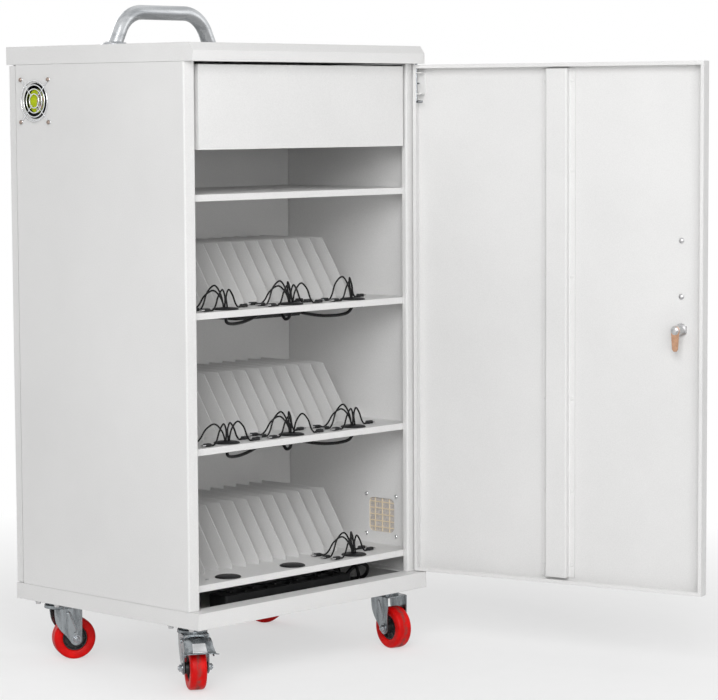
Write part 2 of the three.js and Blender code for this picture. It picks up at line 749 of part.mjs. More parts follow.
const DOOR_BOTTOM = BASE_HEIGHT + DOOR_END_GAP;
const DOOR_TOP = CAP_BOTTOM - DOOR_END_GAP;
const DOOR_WIDTH = BODY_WIDTH - 2 * DOOR_SIDE_GAP;
const SKIN_OUT = DOOR_SEAT_GAP + PIVOT_DEPTH - DOOR_ZONE;
const SKIN_IN = SKIN_OUT + SHEET;
const REAR_SKIN_OUT = DOOR_SEAT_GAP + PIVOT_DEPTH - REAR_DOOR_ZONE;
const REAR_SKIN_IN = REAR_SKIN_OUT + SHEET;
const LIP_FACE = PIVOT_DEPTH;
const FREE_EDGE = PIVOT_INSET - DOOR_WIDTH;
const LOCK_U = FREE_EDGE + LOCK_INSET;

function doorTray(skin) {
  const outer = block(FREE_EDGE, PIVOT_INSET, skin, LIP_FACE, DOOR_BOTTOM, DOOR_TOP);
  const hollow = block(
    FREE_EDGE + SHEET,
    PIVOT_INSET - SHEET,
    skin + SHEET,
    LIP_FACE - SHEET,
    DOOR_BOTTOM + SHEET,
    DOOR_TOP - SHEET,
  );
  const mouth = block(
    FREE_EDGE + DOOR_LIP,
    PIVOT_INSET - DOOR_LIP,
    skin + SHEET,
    LIP_FACE + 1,
    DOOR_BOTTOM + DOOR_LIP,
    DOOR_TOP - DOOR_LIP,
  );
  return cut(outer, hollow, mouth);
}

function pivotPin(z0, z1) {
  return rodZ(PIVOT_PIN / 2, 0, 0, z0, z1, 12);
}

function lockHole(skin) {
  return rodY(LOCK_BARREL / 2 + FIT, LOCK_U, LOCK_HEIGHT, skin - 1, skin + SHEET + 1, 20);
}

const BOLT_EAR_TOP = DOOR_TOP - BOLT.top;

function boltBracket() {
  const low = BOLT_EAR_TOP - BOLT.earSpan;
  const edge = PIVOT_INSET - SHEET / 2;
  const plate = block(-BOLT.earWidth, edge, SKIN_IN - SHEET / 2, SKIN_IN + BOLT.ear, low, BOLT_EAR_TOP);
  const ears = [low, BOLT_EAR_TOP - BOLT.ear].map((z) =>
    block(-BOLT.earWidth, edge, SKIN_IN, PIVOT_PIN / 2 + 1, z, z + BOLT.ear));
  return union(plate, ...ears);
}

function frontDoor() {
  const lowerPin = pivotPin(BASE_HEIGHT - PIVOT_REACH, DOOR_BOTTOM + SHEET);
  const boltHole = rodZ(PIVOT_HOLE, 0, 0, DOOR_BOTTOM + DOOR_LIP, DOOR_TOP + 1, 12);
  const handleHoles = [-1, 1].map((side) => {
    const z = HANDLE_HEIGHT + (side * HANDLE_SPACING) / 2;
    return rodY(HANDLE_ROD / 4 + FIT, LOCK_U, z, SKIN_OUT - 1, SKIN_IN + 1, 10);
  });
  const shell = union(doorTray(SKIN_OUT), lowerPin, boltBracket());
  return cut(shell, boltHole, lockHole(SKIN_OUT), ...handleHoles);
}

function doorStiffener() {
  const half = STIFFENER.face / 2;
  const wide = half + STIFFENER.flange;
  const foot = SKIN_IN + FIT;
  const crown = foot + STIFFENER.height;
  const middle = PIVOT_INSET - DOOR_WIDTH / 2;
  const shape = foldedSheet([
    [middle + wide, foot],
    [middle + half, foot],
    [middle + half, crown],
    [middle - half, crown],
    [middle - half, foot],
    [middle - wide, foot],
  ].reverse(), STIFFENER.sheet, 1.5, 2);
  return prismZ(shape, DOOR_BOTTOM + STIFFENER.endGap, DOOR_TOP - STIFFENER.endGap);
}

function doorHandle() {
  const half = HANDLE_SPACING / 2;
  const out = SKIN_OUT - HANDLE_STANDOFF;
  const base = SKIN_OUT - FIT;
  const bow = tube([
    [LOCK_U, base, HANDLE_HEIGHT - half],
    [LOCK_U, base - HANDLE_STANDOFF * 0.55, HANDLE_HEIGHT - half],
    [LOCK_U, out, HANDLE_HEIGHT - half * 0.62],
    [LOCK_U, out, HANDLE_HEIGHT + half * 0.62],
    [LOCK_U, base - HANDLE_STANDOFF * 0.55, HANDLE_HEIGHT + half],
    [LOCK_U, base, HANDLE_HEIGHT + half],
  ], HANDLE_ROD / 2, 10, 18);
  const screws = [-1, 1].map((side) =>
    rodY(HANDLE_ROD / 4, LOCK_U, HANDLE_HEIGHT + side * half, base - 2, SKIN_IN + SHEET, 10));
  return union(bow, ...screws);
}

const CAM_NEAR = LIP_FACE + DOOR_SEAT_GAP + SHEET + CAM.offset;

function lockBody() {
  const flange = rodY(LOCK_FLANGE / 2, LOCK_U, LOCK_HEIGHT, SKIN_OUT - FIT - 3, SKIN_OUT - FIT, 20);
  const barrel = rodY(LOCK_BARREL / 2, LOCK_U, LOCK_HEIGHT, SKIN_OUT - FIT - 1, CAM_NEAR - FIT, 20);
  const nut = rodY(LOCK_NUT / 2, LOCK_U, LOCK_HEIGHT, SKIN_IN + FIT, SKIN_IN + 6, 6);
  const keyway = block(
    LOCK_U - 0.8,
    LOCK_U + 0.8,
    SKIN_OUT - FIT - 4,
    SKIN_OUT - FIT + 2,
    LOCK_HEIGHT - 4,
    LOCK_HEIGHT + 4,
  );
  const screwHole = rodY(2.5 + PIN_PLAY, LOCK_U, LOCK_HEIGHT, CAM_NEAR - 12, CAM_NEAR + 1, 10);
  return cut(union(flange, barrel, nut), keyway, screwHole);
}

function camShape(tip) {
  const shape = new THREE.Shape();
  const r = CAM.width / 2;
  shape.absarc(0, 0, r, 0, Math.PI);
  shape.lineTo(-r * 0.7, -tip + 4);
  shape.lineTo(-r * 0.35, -tip);
  shape.lineTo(r * 0.35, -tip);
  shape.lineTo(r * 0.7, -tip + 4);
  return shape;
}

function lockCam() {
  const plate = prismY(camShape(CAM.length), CAM_NEAR, CAM_NEAR + CAM.thickness);
  const screw = rodY(2.5, 0, 0, CAM_NEAR - 10, CAM_NEAR + 1, 10);
  const head = rodY(5, 0, 0, CAM_NEAR + CAM.thickness / 2, CAM_NEAR + CAM.thickness + 3.5, 6);
  return union(plate, screw, head).translate(LOCK_U, 0, LOCK_HEIGHT);
}

function springBolt() {
  const top = CAP_BOTTOM + PIVOT_REACH;
  const low = DOOR_TOP - BOLT.length;
  const grip = rodX(PIVOT_PIN / 2, 0, low + PIVOT_PIN / 2, -BOLT.grip, 0, 12);
  const stop = rodX(BOLT.stop / 2, 0, BOLT_EAR_TOP - BOLT.earSpan / 2, -BOLT.stopReach, 0, 8);
  return union(pivotPin(low, top), grip, stop);
}

function rearDoor() {
  const pins = union(
    doorTray(REAR_SKIN_OUT),
    pivotPin(BASE_HEIGHT - PIVOT_REACH, DOOR_BOTTOM + SHEET),
    pivotPin(DOOR_TOP - SHEET, CAP_BOTTOM + PIVOT_REACH),
  );
  return cut(pins, lockHole(REAR_SKIN_OUT));
}

function rearLock() {
  const flange = rodY(LOCK_FLANGE / 2, 0, 0, REAR_SKIN_OUT - FIT - 3, REAR_SKIN_OUT - FIT, 20);
  const barrel = rodY(LOCK_BARREL / 2, 0, 0, REAR_SKIN_OUT - FIT - 1, CAM_NEAR + 1, 20);
  const nut = rodY(LOCK_NUT / 2, 0, 0, REAR_SKIN_IN + FIT, REAR_SKIN_IN + 6, 6);
  const plate = prismY(camShape(CAM.length), CAM_NEAR, CAM_NEAR + CAM.thickness);
  const keyway = block(-0.8, 0.8, REAR_SKIN_OUT - FIT - 4, REAR_SKIN_OUT - FIT + 2, -4, 4);
  return cut(union(flange, barrel, nut, plate), keyway).translate(LOCK_U, 0, LOCK_HEIGHT);
}

// Fan: square frame with struts, a bladed rotor and a wire guard outside

const FAN_OUT = -INNER + FIT;
const FAN_IN = FAN_OUT + FAN.depth;
const STRUT_DEPTH = 3.5;
const CUP_RADIUS = FAN.hub / 2 - 1;
const SHAFT_RADIUS = 2;

function fanFrame() {
  const ring = cut(
    prismX(roundedSquare(FAN.size, FAN.size, 5, FAN_Y, FAN_LEVEL), FAN_OUT, FAN_IN),
    prismX(circleShape(FAN.bore / 2, 32, FAN_Y, FAN_LEVEL), FAN_OUT - 1, FAN_IN + 1),
  );
  const cup = rodX(CUP_RADIUS, FAN_Y, FAN_LEVEL, FAN_IN - STRUT_DEPTH, FAN_IN, 20);
  const struts = [0, 1].map((i) => {
    const strut = block(FAN_IN - STRUT_DEPTH, FAN_IN, -FAN.bore / 2 - 1, FAN.bore / 2 + 1, -3, 3);
    return strut.rotateX(Math.PI / 4 + (i * Math.PI) / 2).translate(0, FAN_Y, FAN_LEVEL);
  });
  const shaftHole = rodX(SHAFT_RADIUS + PIN_PLAY, FAN_Y, FAN_LEVEL, FAN_IN - STRUT_DEPTH - 1, FAN_IN - 1, 10);
  return cut(union(ring, cup, ...struts), shaftHole);
}

// One pitched blade, standing up from the hub
function fanBlade() {
  const root = FAN.hub / 2 - 3;
  const tip = FAN.bore / 2 - BLADE.tipGap;
  const outline = shapeOf([
    [-BLADE.root / 2, root],
    [BLADE.root / 2, root],
    [BLADE.tip / 2, tip - 2],
    [BLADE.tip / 2 - 3, tip],
    [-BLADE.tip / 2 + 5, tip],
    [-BLADE.tip / 2, tip - 5],
  ]);
  const blade = prismX(outline, -BLADE.thickness / 2, BLADE.thickness / 2);
  return blade.rotateZ(THREE.MathUtils.degToRad(BLADE.pitch));
}

function fanRotor() {
  const hubLength = FAN.depth - STRUT_DEPTH - 2 * RUN - 1;
  const hub = rodX(FAN.hub / 2, 0, 0, 0, hubLength, 4 * FAN_BLADES);
  const shaft = rodX(SHAFT_RADIUS, 0, 0, hubLength - 1, hubLength + STRUT_DEPTH - 1, 10);
  let body = solid(union(hub, shaft));
  for (let i = 0; i < FAN_BLADES; i += 1) {
    const blade = fanBlade().translate(hubLength / 2, 0, 0).rotateX((2 * Math.PI * i) / FAN_BLADES);
    body = body.add(solid(blade));
  }
  return fromSolid(body);
}

function fanGuard() {
  const near = -HALF - FIT - GUARD.wire / 2;
  const outer = near - GUARD.wire * 0.8;
  const corner = FAN.holes / Math.SQRT2;
  const parts = GUARD.rings.map((radius) => {
    const ring = new THREE.TorusGeometry(radius, GUARD.wire / 2, 4, 24);
    return ring.rotateY(Math.PI / 2).translate(outer, FAN_Y, FAN_LEVEL);
  });
  for (let i = 0; i < 4; i += 1) {
    const angle = Math.PI / 4 + (i * Math.PI) / 2;
    const arm = rodY(GUARD.wire / 2, near, 0, GUARD.rings[0] - 2, corner - GUARD.eye / 2 + 1, 6);
    const eye = rodX(GUARD.eye / 2, corner, 0, near - GUARD.wire / 2, near + GUARD.wire / 2, 12);
    parts.push(arm.rotateX(angle).translate(0, FAN_Y, FAN_LEVEL));
    parts.push(eye.rotateX(angle).translate(0, FAN_Y, FAN_LEVEL));
  }
  return union(...parts);
}

function ventGrille() {
  const near = HALF + FIT;
  const far = near + VENT.thickness;
  const frame = cut(
    prismX(roundedSquare(VENT.plate, VENT.plate, 5, VENT_Y, VENT.level), near, far),
    prismX(roundedSquare(VENT.opening, VENT.opening, VENT.corner, VENT_Y, VENT.level), near - 1, far + 1),
  );
  const reach = VENT.opening / 2 + 1;
  const half = VENT.bar / 2;
  const bars = [];
  for (let i = 1; i < VENT_COLUMNS; i += 1) {
    const y = VENT_Y + (i / VENT_COLUMNS - 0.5) * VENT.opening;
    bars.push(block(near, far, y - half, y + half, VENT.level - reach, VENT.level + reach));
  }
  for (let i = 1; i < VENT_ROWS; i += 1) {
    const z = VENT.level + (i / VENT_ROWS - 0.5) * VENT.opening;
    bars.push(block(near, far, VENT_Y - reach, VENT_Y + reach, z - half, z + half));
  }
  return union(frame, ...bars);
}

function mainsInlet() {
  const flangeShape = roundedSquare(INLET.flange, INLET.height + 6, 4, INLET_Y, INLET.level);
  const flange = prismX(flangeShape, HALF + FIT, HALF + FIT + INLET.lip);
  const bodyShape = roundedSquare(INLET.width, INLET.height, 2, INLET_Y, INLET.level);
  const body = prismX(bodyShape, HALF + FIT + 1 - INLET.depth, HALF + FIT + 1);
  const recessShape = roundedSquare(INLET.width - 5, INLET.height - 5, 3, INLET_Y, INLET.level);
  const recess = prismX(recessShape, HALF - INLET.depth + 6, HALF + INLET.lip + 2);
  const pins = [[-7, -2], [0, 2], [7, -2]].map(([dy, dz]) =>
    block(
      HALF - INLET.depth + 4,
      HALF - 2,
      INLET_Y + dy - 1,
      INLET_Y + dy + 1,
      INLET.level + dz - 2,
      INLET.level + dz + 2,
    ));
  return union(cut(union(flange, body), recess), ...pins);
}

// Push handle: a leaning hoop of round tube on two round feet

function pushHandle() {
  const y = FRONT + PUSH.setback;
  const foot = BODY_HEIGHT + FIT;
  const bar = BODY_HEIGHT + PUSH.rise;
  const half = PUSH.spacing / 2;
  const lean = THREE.MathUtils.degToRad(PUSH.lean);
  const sweep = Math.PI / 2 - lean;
  const tangent = PUSH.bend * Math.tan(sweep / 2);
  const cornerX = half - PUSH.rise * Math.tan(lean);
  const side = [];
  const startX = cornerX + tangent * Math.sin(lean);
  const startZ = bar - tangent * Math.cos(lean);
  const centre = [cornerX - tangent, bar - PUSH.bend];
  for (let i = 0; i <= 4; i += 1) {
    const angle = lean + (sweep * i) / 4;
    side.push([centre[0] + PUSH.bend * Math.cos(angle), centre[1] + PUSH.bend * Math.sin(angle)]);
  }
  const right = [[half, foot], [(half + startX) / 2, (foot + startZ) / 2], ...side];
  const left = right.map(([x, z]) => [-x, z]).reverse();
  const hoop = tube([...right, ...left].map(([x, z]) => [x, y, z]), PUSH.tube / 2, 12, 24);
  const feet = [-1, 1].map((s) =>
    revolve([
      [0, 0],
      [PUSH.foot / 2, 0],
      [PUSH.foot / 2, PUSH.footHeight * 0.6],
      [PUSH.foot / 2 - 3, PUSH.footHeight],
      [0, PUSH.footHeight],
    ], 20).translate(s * half, y, foot));
  const floor = block(-half - PUSH.foot, half + PUSH.foot, y - PUSH.foot, y + PUSH.foot, foot - 60, foot);
  return cut(union(hoop, ...feet), floor);
}

// Castors, about the swivel axis with the wheel trailing to -Y

const WHEEL_RADIUS = WHEEL_DIAMETER / 2;
const AXLE_Z = WHEEL_RADIUS - CASTOR_HEIGHT;
const RACE_BOTTOM = -FIT - CASTOR_PLATE_THICKNESS - RACE_HEIGHT;
const FORK_TOP = RACE_BOTTOM - RUN;
const FORK_UNDER = FORK_TOP - FORK_SHEET;
const PEDAL_Z = (FORK_UNDER + AXLE_Z + WHEEL_RADIUS) / 2;
const FORK_GAP = WHEEL_WIDTH / 2 + FORK_SIDE_GAP;
const FORK_OUT = FORK_GAP + FORK_SHEET;
const CROWN_RADIUS = RACE_RADIUS + 3;
const LEG_FRONT = 13;
const LEG_SHOULDER = 12;
const LEG_ROUND = 12;
const LEG_REAR = -CASTOR_TRAIL - LEG_ROUND;

function castorPlate() {
  const plate = prismZ(roundedSquare(CASTOR_PLATE, CASTOR_PLATE, 8), -FIT - CASTOR_PLATE_THICKNESS, -FIT);
  const race = revolve([
    [0, FORK_UNDER - FIT - 4],
    [KING_HEAD / 2 - 2, FORK_UNDER - FIT - 4],
    [KING_HEAD / 2, FORK_UNDER - FIT],
    [KING_PIN / 2, FORK_UNDER - FIT],
    [KING_PIN / 2, RACE_BOTTOM],
    [RACE_RADIUS - 2, RACE_BOTTOM],
    [RACE_RADIUS, RACE_BOTTOM + RACE_HEIGHT / 2],
    [RACE_RADIUS - 5, -FIT - 1],
    [0, -FIT - 1],
  ], 14);
  return union(plate, race);
}

// The legs sweep in towards the axle and end in a round
function legShape() {
  const legEnd = [-20, -55, -90, -125, -160].map((degrees) => {
    const angle = THREE.MathUtils.degToRad(degrees);
    return [-CASTOR_TRAIL + LEG_ROUND * Math.cos(angle), AXLE_Z + LEG_ROUND * Math.sin(angle)];
  });
  return shapeOf([
    [LEG_FRONT, FORK_TOP],
    [LEG_FRONT, FORK_TOP - LEG_SHOULDER],
    [LEG_FRONT - 3, AXLE_Z + 32],
    [LEG_FRONT - 11, AXLE_Z + 18],
    [LEG_FRONT - 22, AXLE_Z + 6],
    ...legEnd,
    [LEG_REAR, FORK_TOP],
  ]);
}

function castorFork(braked) {
  const crown = rodZ(CROWN_RADIUS, 0, 0, FORK_UNDER, FORK_TOP, 24);
  const bridge = block(-FORK_OUT, FORK_OUT, LEG_REAR, LEG_FRONT, FORK_UNDER, FORK_TOP);
  const legs = [
    prismX(legShape(), FORK_GAP, FORK_OUT),
    prismX(legShape(), -FORK_OUT, -FORK_GAP),
  ];
  const axle = rodX(AXLE / 2, -CASTOR_TRAIL, AXLE_Z, -FORK_OUT - 6, FORK_OUT + 6, 12);
  const heads = [
    rodX(AXLE * 0.85, -CASTOR_TRAIL, AXLE_Z, FORK_OUT - 1, FORK_OUT + 5, 6),
    rodX(AXLE * 0.85, -CASTOR_TRAIL, AXLE_Z, -FORK_OUT - 5, -FORK_OUT + 1, 6),
  ];
  const kingHole = rodZ(KING_PIN / 2 + PIN_PLAY, 0, 0, FORK_UNDER - 1, FORK_TOP + 1, 16);
  const frame = cut(union(crown, bridge, ...legs), kingHole);
  if (!braked) return union(frame, axle, ...heads);
  const pinHole = rodX(PEDAL.pin / 2 + PIN_PLAY, PEDAL.pivotY, PEDAL_Z, -FORK_OUT - 1, FORK_OUT + 1, 12);
  return union(cut(frame, pinHole), axle, ...heads);
}

// The wheel is a moulded core with its tread bonded on, about the axle along X
function castorWheel() {
  const bore = AXLE / 2 + PIN_PLAY;
  const boss = FORK_GAP - RUN;
  const half = WHEEL_WIDTH / 2;
  const core = WHEEL_RADIUS * CORE_SHARE;
  const side = [
    [bore, -boss],
    [HUB_BOSS, -boss],
    [HUB_BOSS, 5 - half],
    [core, 5 - half],
    [core + 2, 1 - half],
    [WHEEL_RADIUS - 5, -half],
    [WHEEL_RADIUS - 1, 4 - half],
    [WHEEL_RADIUS, 9 - half],
  ];
  const other = side.map(([r, a]) => [r, -a]).reverse();
  return revolve([...side, ...other, side[0]], 18).rotateY(Math.PI / 2);
}

function brakePedal() {
  const half = PEDAL.width / 2;
  const cheek = FORK_OUT + RUN;
  const near = LEG_REAR - 3;
  const tread = foldedSheet([
    [near, PEDAL_Z + 8],
    [near - 12, PEDAL_Z + 5],
    [near - 24, PEDAL_Z - 12],
    [near - 34, PEDAL_Z - 15],
  ], PEDAL.sheet, 2, 2);
  const flare = shapeOf([
    [PEDAL.waist / 2, near + 1],
    [half + 1, near + 1],
    [half + 1, near - PEDAL.flare],
    [half, near - PEDAL.flare],
  ]);
  const flares = [flare, mirrored(flare)].map((shape) =>
    prismZ(shape, PEDAL_Z - CASTOR_TRAIL, PEDAL_Z + CASTOR_TRAIL));
  const plate = cut(prismX(tread, -half, half), ...flares);
  const cheekShape = shapeOf([
    [PEDAL.pivotY + 6, PEDAL_Z - 6],
    [PEDAL.pivotY + 6, PEDAL_Z + 5],
    [near - 4, PEDAL_Z + 6],
    [near - 13, PEDAL_Z + 3],
    [near - 13, PEDAL_Z - 4],
  ]);
  const cheeks = [
    prismX(cheekShape, cheek, cheek + PEDAL.sheet),
    prismX(cheekShape, -cheek - PEDAL.sheet, -cheek),
  ];
  const pinHalf = cheek + PEDAL.sheet + 1;
  const pin = rodX(PEDAL.pin / 2, PEDAL.pivotY, PEDAL_Z, -pinHalf, pinHalf, 12);
  return union(plate, ...cheeks, pin);
}

// Assembly

place(cart, "base_pan", "paint", basePan());
place(cart, "top_cap", "paint", topCap());
place(cart, "left_side_panel", "paint", leftSidePanel());
place(cart, "right_side_panel", "paint", rightSidePanel());
place(cart, "inner_back_wall", "paint", innerBackWall());
place(cart, "top_shelf", "paint", shelfTray(TOP_SHELF_HEIGHT));

for (const [level, top] of Object.entries(SHELF_HEIGHTS)) {
  place(cart, `${level}_shelf`, "paint", dividedShelf(top));
  for (const [spot, x] of Object.entries(GROMMET_PLACES)) {
    const hub = groupAt(cart, x, GROMMET_Y, top);
    const leads = LEAD_SETS[`${level}_${spot}`];
    place(hub, `grommet_${level}_${spot}`, "black", grommet(Boolean(leads)));
    if (!leads) continue;
    const drop = -GROMMET_DROP;
    const goesDown = level === "lower";
    const port = x ? Math.sign(x) * PORT.pitch * 1.5 : PORT.pitch / 2;
    const trunk = goesDown
      ? [
        [0, 0, drop + 1],
        [STRIP.width / 2 + 12 - x, 2, drop - 14],
        [STRIP.width / 2 + 24 - x, 12, SHEET_EDGE + 20 - top],
        [STRIP.width / 2 + 20 - x, STRIP_Y - GROMMET_Y, SHEET_EDGE + 14 - top],
        [STRIP.width / 2 + 10 - x, STRIP_Y - GROMMET_Y, SHEET_EDGE + 14 - top],
        [STRIP.width / 2 + FIT - x, STRIP_Y - GROMMET_Y, SHEET_EDGE + 14 - top],
      ]
      : [
        [0, 0, drop + 1],
        [(port - x) * 0.06, 5, drop - 10],
        [(port - x) * 0.45, 20, drop - 14],
        [port - x, CHARGER_FRONT - GROMMET_Y - 16, -SHEET_EDGE - CHARGER.height / 2],
        [port - x, CHARGER_FRONT - GROMMET_Y - 8, -SHEET_EDGE - CHARGER.height / 2],
        [port - x, CHARGER_FRONT - GROMMET_Y - FIT, -SHEET_EDGE - CHARGER.height / 2],
      ];
    const routes = leads.map((name) => LEAD_ROUTES[name].map(([a, b, c]) => [a * LEAD_SPREAD, b, c]));
    place(hub, `leads_${level}_${spot}`, "black", leadBundle(routes, trunk));
  }
}

place(cart, "usb_charger_upper", "black", charger(SHELF_HEIGHTS.upper));
place(cart, "usb_charger_middle", "black", charger(SHELF_HEIGHTS.middle));
place(cart, "power_strip", "black", powerStrip());
place(cart, "strip_supply_cord", "black", supplyCord());
place(cart, "rear_socket_strip", "black", rearSocketStrip());
place(cart, "fan_frame", "black", fanFrame());
place(cart, "fan_guard", "chrome", fanGuard());
place(groupAt(cart, FAN_OUT + 1, FAN_Y, FAN_LEVEL), "fan_rotor", "black", fanRotor());
place(cart, "vent_grille", "cream", ventGrille());
place(cart, "mains_inlet", "black", mainsInlet());
place(cart, "push_handle", "chrome", pushHandle());
place(cart, "drawer_runner_left", "zinc", drawerRunner(-1));
place(cart, "drawer_runner_right", "zinc", drawerRunner(1));
place(cart, "drawer_box", "paint", drawerBox());

const frontHinge = groupAt(cart, PIVOT_X, FRONT_PIVOT_Y, 0, DOOR_OPEN_ANGLE);
place(frontHinge, "front_door", "paint", frontDoor());
place(frontHinge, "door_stiffener", "paint", doorStiffener());
place(frontHinge, "door_handle", "chrome", doorHandle());
place(frontHinge, "lock_body", "chrome", lockBody());
place(frontHinge, "lock_cam", "brass", lockCam());
place(frontHinge, "door_spring_bolt", "zinc", springBolt());

// The rear door turns on pivots at the left side of the body
const rearHinge = groupAt(cart, -PIVOT_X, REAR_PIVOT_Y, 0, 180);
place(rearHinge, "rear_door", "paint", rearDoor());
place(rearHinge, "rear_lock", "chrome", rearLock());

for (const [corner, heading] of Object.entries(CASTOR_HEADINGS)) {
  const x = (corner.endsWith("left") ? -1 : 1) * (HALF - CASTOR_INSET_X);
  const y = corner.startsWith("front") ? BASE_FRONT + CASTOR_INSET_Y : BASE_REAR - CASTOR_INSET_Y;
  place(groupAt(cart, x, y, 0), `castor_plate_${corner}`, "zinc", castorPlate());
  const swivel = groupAt(cart, x, y, 0, heading);
  const braked = corner === "front_left";
  place(swivel, `castor_fork_${corner}`, "zinc", castorFork(braked));
  place(swivel, `castor_wheel_${corner}`, "red", castorWheel()).position.set(0, -CASTOR_TRAIL, AXLE_Z);
  if (braked) place(swivel, `brake_pedal_${corner}`, "zinc", brakePedal());
}

export default cart;
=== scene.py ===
"""Dresses the charging cart's frame: smooth fittings, charging leads and procedural finishes, in metres."""
import json
import logging
import math
from dataclasses import dataclass
from enum import Enum
from typing import Any, Iterable, Sequence

import bmesh
import bpy
from mathutils import Matrix, Vector


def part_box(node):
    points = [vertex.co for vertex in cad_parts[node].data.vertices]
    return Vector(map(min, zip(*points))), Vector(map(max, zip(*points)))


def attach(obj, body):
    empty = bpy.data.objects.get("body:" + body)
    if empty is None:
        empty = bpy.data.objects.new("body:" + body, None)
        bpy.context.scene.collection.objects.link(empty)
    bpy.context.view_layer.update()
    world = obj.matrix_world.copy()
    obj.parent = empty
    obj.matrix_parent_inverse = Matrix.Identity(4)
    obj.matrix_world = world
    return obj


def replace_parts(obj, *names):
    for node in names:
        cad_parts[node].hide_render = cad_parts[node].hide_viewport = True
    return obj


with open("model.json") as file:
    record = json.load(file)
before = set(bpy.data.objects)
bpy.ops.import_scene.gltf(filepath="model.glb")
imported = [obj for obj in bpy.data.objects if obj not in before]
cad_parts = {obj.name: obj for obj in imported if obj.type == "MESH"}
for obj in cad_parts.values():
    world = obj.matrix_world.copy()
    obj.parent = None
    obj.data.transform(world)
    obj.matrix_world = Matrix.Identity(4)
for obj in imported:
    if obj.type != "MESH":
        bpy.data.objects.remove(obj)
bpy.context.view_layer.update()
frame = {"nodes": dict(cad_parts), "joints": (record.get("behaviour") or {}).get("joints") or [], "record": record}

LOG = logging.getLogger("cart")
MM = 0.001
SHARP_ANGLE = math.radians(38)
ROUNDING_STEPS = 2
SIDES = (-1, 1)
TINY = 1e-6

Point = tuple[float, float, float]
Pair = tuple[float, float]
Profile = Sequence[Pair]
Section = Sequence[Sequence[float]]


class Level(Enum):
    """The divided shelves, by the height of their tops in millimetres."""

    UPPER = 559
    MIDDLE = 317
    LOWER = 72

    @property
    def word(self) -> str:
        """The level's word in node names."""
        return self.name.lower()


class Place(Enum):
    """A grommet's place across its shelf, by its word in node names."""

    LEFT = "left"
    CENTRE = "centre"
    RIGHT = "right"


class Corner(Enum):
    """A castor's corner of the base, by its word in node names."""

    FRONT_LEFT = "front_left"
    FRONT_RIGHT = "front_right"
    REAR_LEFT = "rear_left"
    REAR_RIGHT = "rear_right"


class Slot(Enum):
    """The record's material slots."""

    COAT = "powder_coat"
    BLACK = "black_plastic"
    JACKET = "lead_jacket"
    CHROME = "chrome"
    ZINC = "zinc_plate"
    YELLOW = "yellow_passivate"
    CREAM = "cream_plastic"
    TREAD = "red_tread"


class FarEnd(Enum):
    """What a cord ends in."""

    OBJECT = "object"
    PLUG = "plug"


class Axis(Enum):
    """The way that a turned form faces."""

    RIGHT = (1, 0, 0)
    LEFT = (-1, 0, 0)
    BACK = (0, 1, 0)
    FRONT = (0, -1, 0)
    DOWN = (0, 0, -1)

    @property
    def turn(self) -> Matrix:
        """The turn that takes Z this way."""
        return Vector((0, 0, 1)).rotation_difference(Vector(self.value)).to_matrix().to_4x4()


def in_mm(metres: float) -> float:
    """A length of the frame in millimetres, to a thousandth."""
    return round(metres / MM, 3)


@dataclass(frozen=True)
class NodeBox:
    """The box of one of the frame's solids at rest, in millimetres."""

    low: Point
    high: Point

    @classmethod
    def of(cls, node: str) -> "NodeBox":
        """Read a solid's box by its node's name."""
        low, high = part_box(node)
        return cls(tuple(map(in_mm, low)), tuple(map(in_mm, high)))

    @property
    def middle(self) -> Point:
        """The box's centre."""
        return tuple((a + b) / 2 for a, b in zip(self.low, self.high))


@dataclass(frozen=True)
class Joint:
    """One of the frame's hinges, in millimetres and degrees."""

    place: Point
    axis: Point
    limits: Pair

    @classmethod
    def of(cls, name: str) -> "Joint":
        """Read a hinge by its name; one that turns without end has no limits."""
        row = next(row for row in frame["joints"] if row["name"] == name)
        return cls(tuple(map(in_mm, row["pos_m"])), tuple(row["axis"]), tuple(row.get("range_deg", ())))


class Signal:
    """A shader socket that Python's operators work on: each adds a node."""

    def __init__(self, graph: "Graph", socket: bpy.types.NodeSocket) -> None:
        """Wrap one output socket of a graph."""
        self.graph = graph
        self.socket = socket

    def _maths(self, operation: str, first: Any, second: Any) -> "Signal":
        """Add one Math node and give its result."""
        return self.graph.node("ShaderNodeMath", {"operation": operation}, {0: first, 1: second})

    def __add__(self, other: Any) -> "Signal":
        """Sum."""
        return self._maths("ADD", self, other)

    __radd__ = __add__

    def __sub__(self, other: Any) -> "Signal":
        """Difference."""
        return self._maths("SUBTRACT", self, other)

    def __rsub__(self, other: Any) -> "Signal":
        """Difference from the other side."""
        return self._maths("SUBTRACT", other, self)

    def __mul__(self, other: Any) -> "Signal":
        """Product."""
        return self._maths("MULTIPLY", self, other)

    __rmul__ = __mul__

    def __pow__(self, other: Any) -> "Signal":
        """Power."""
        return self._maths("POWER", self, other)

    def __rpow__(self, other: Any) -> "Signal":
        """Power from the other side."""
        return self._maths("POWER", other, self)

    def __gt__(self, other: Any) -> "Signal":
        """One where this is the greater, else zero."""
        return self._maths("GREATER_THAN", self, other)

    def __lt__(self, other: Any) -> "Signal":
        """One where this is the smaller, else zero."""
        return self._maths("LESS_THAN", self, other)

    def __abs__(self) -> "Signal":
        """Size without sign."""
        return self._maths("ABSOLUTE", self, 0.0)

    def clamped(self) -> "Signal":
        """The value kept between zero and one."""
        return self.graph.node("ShaderNodeClamp", {}, {0: self})


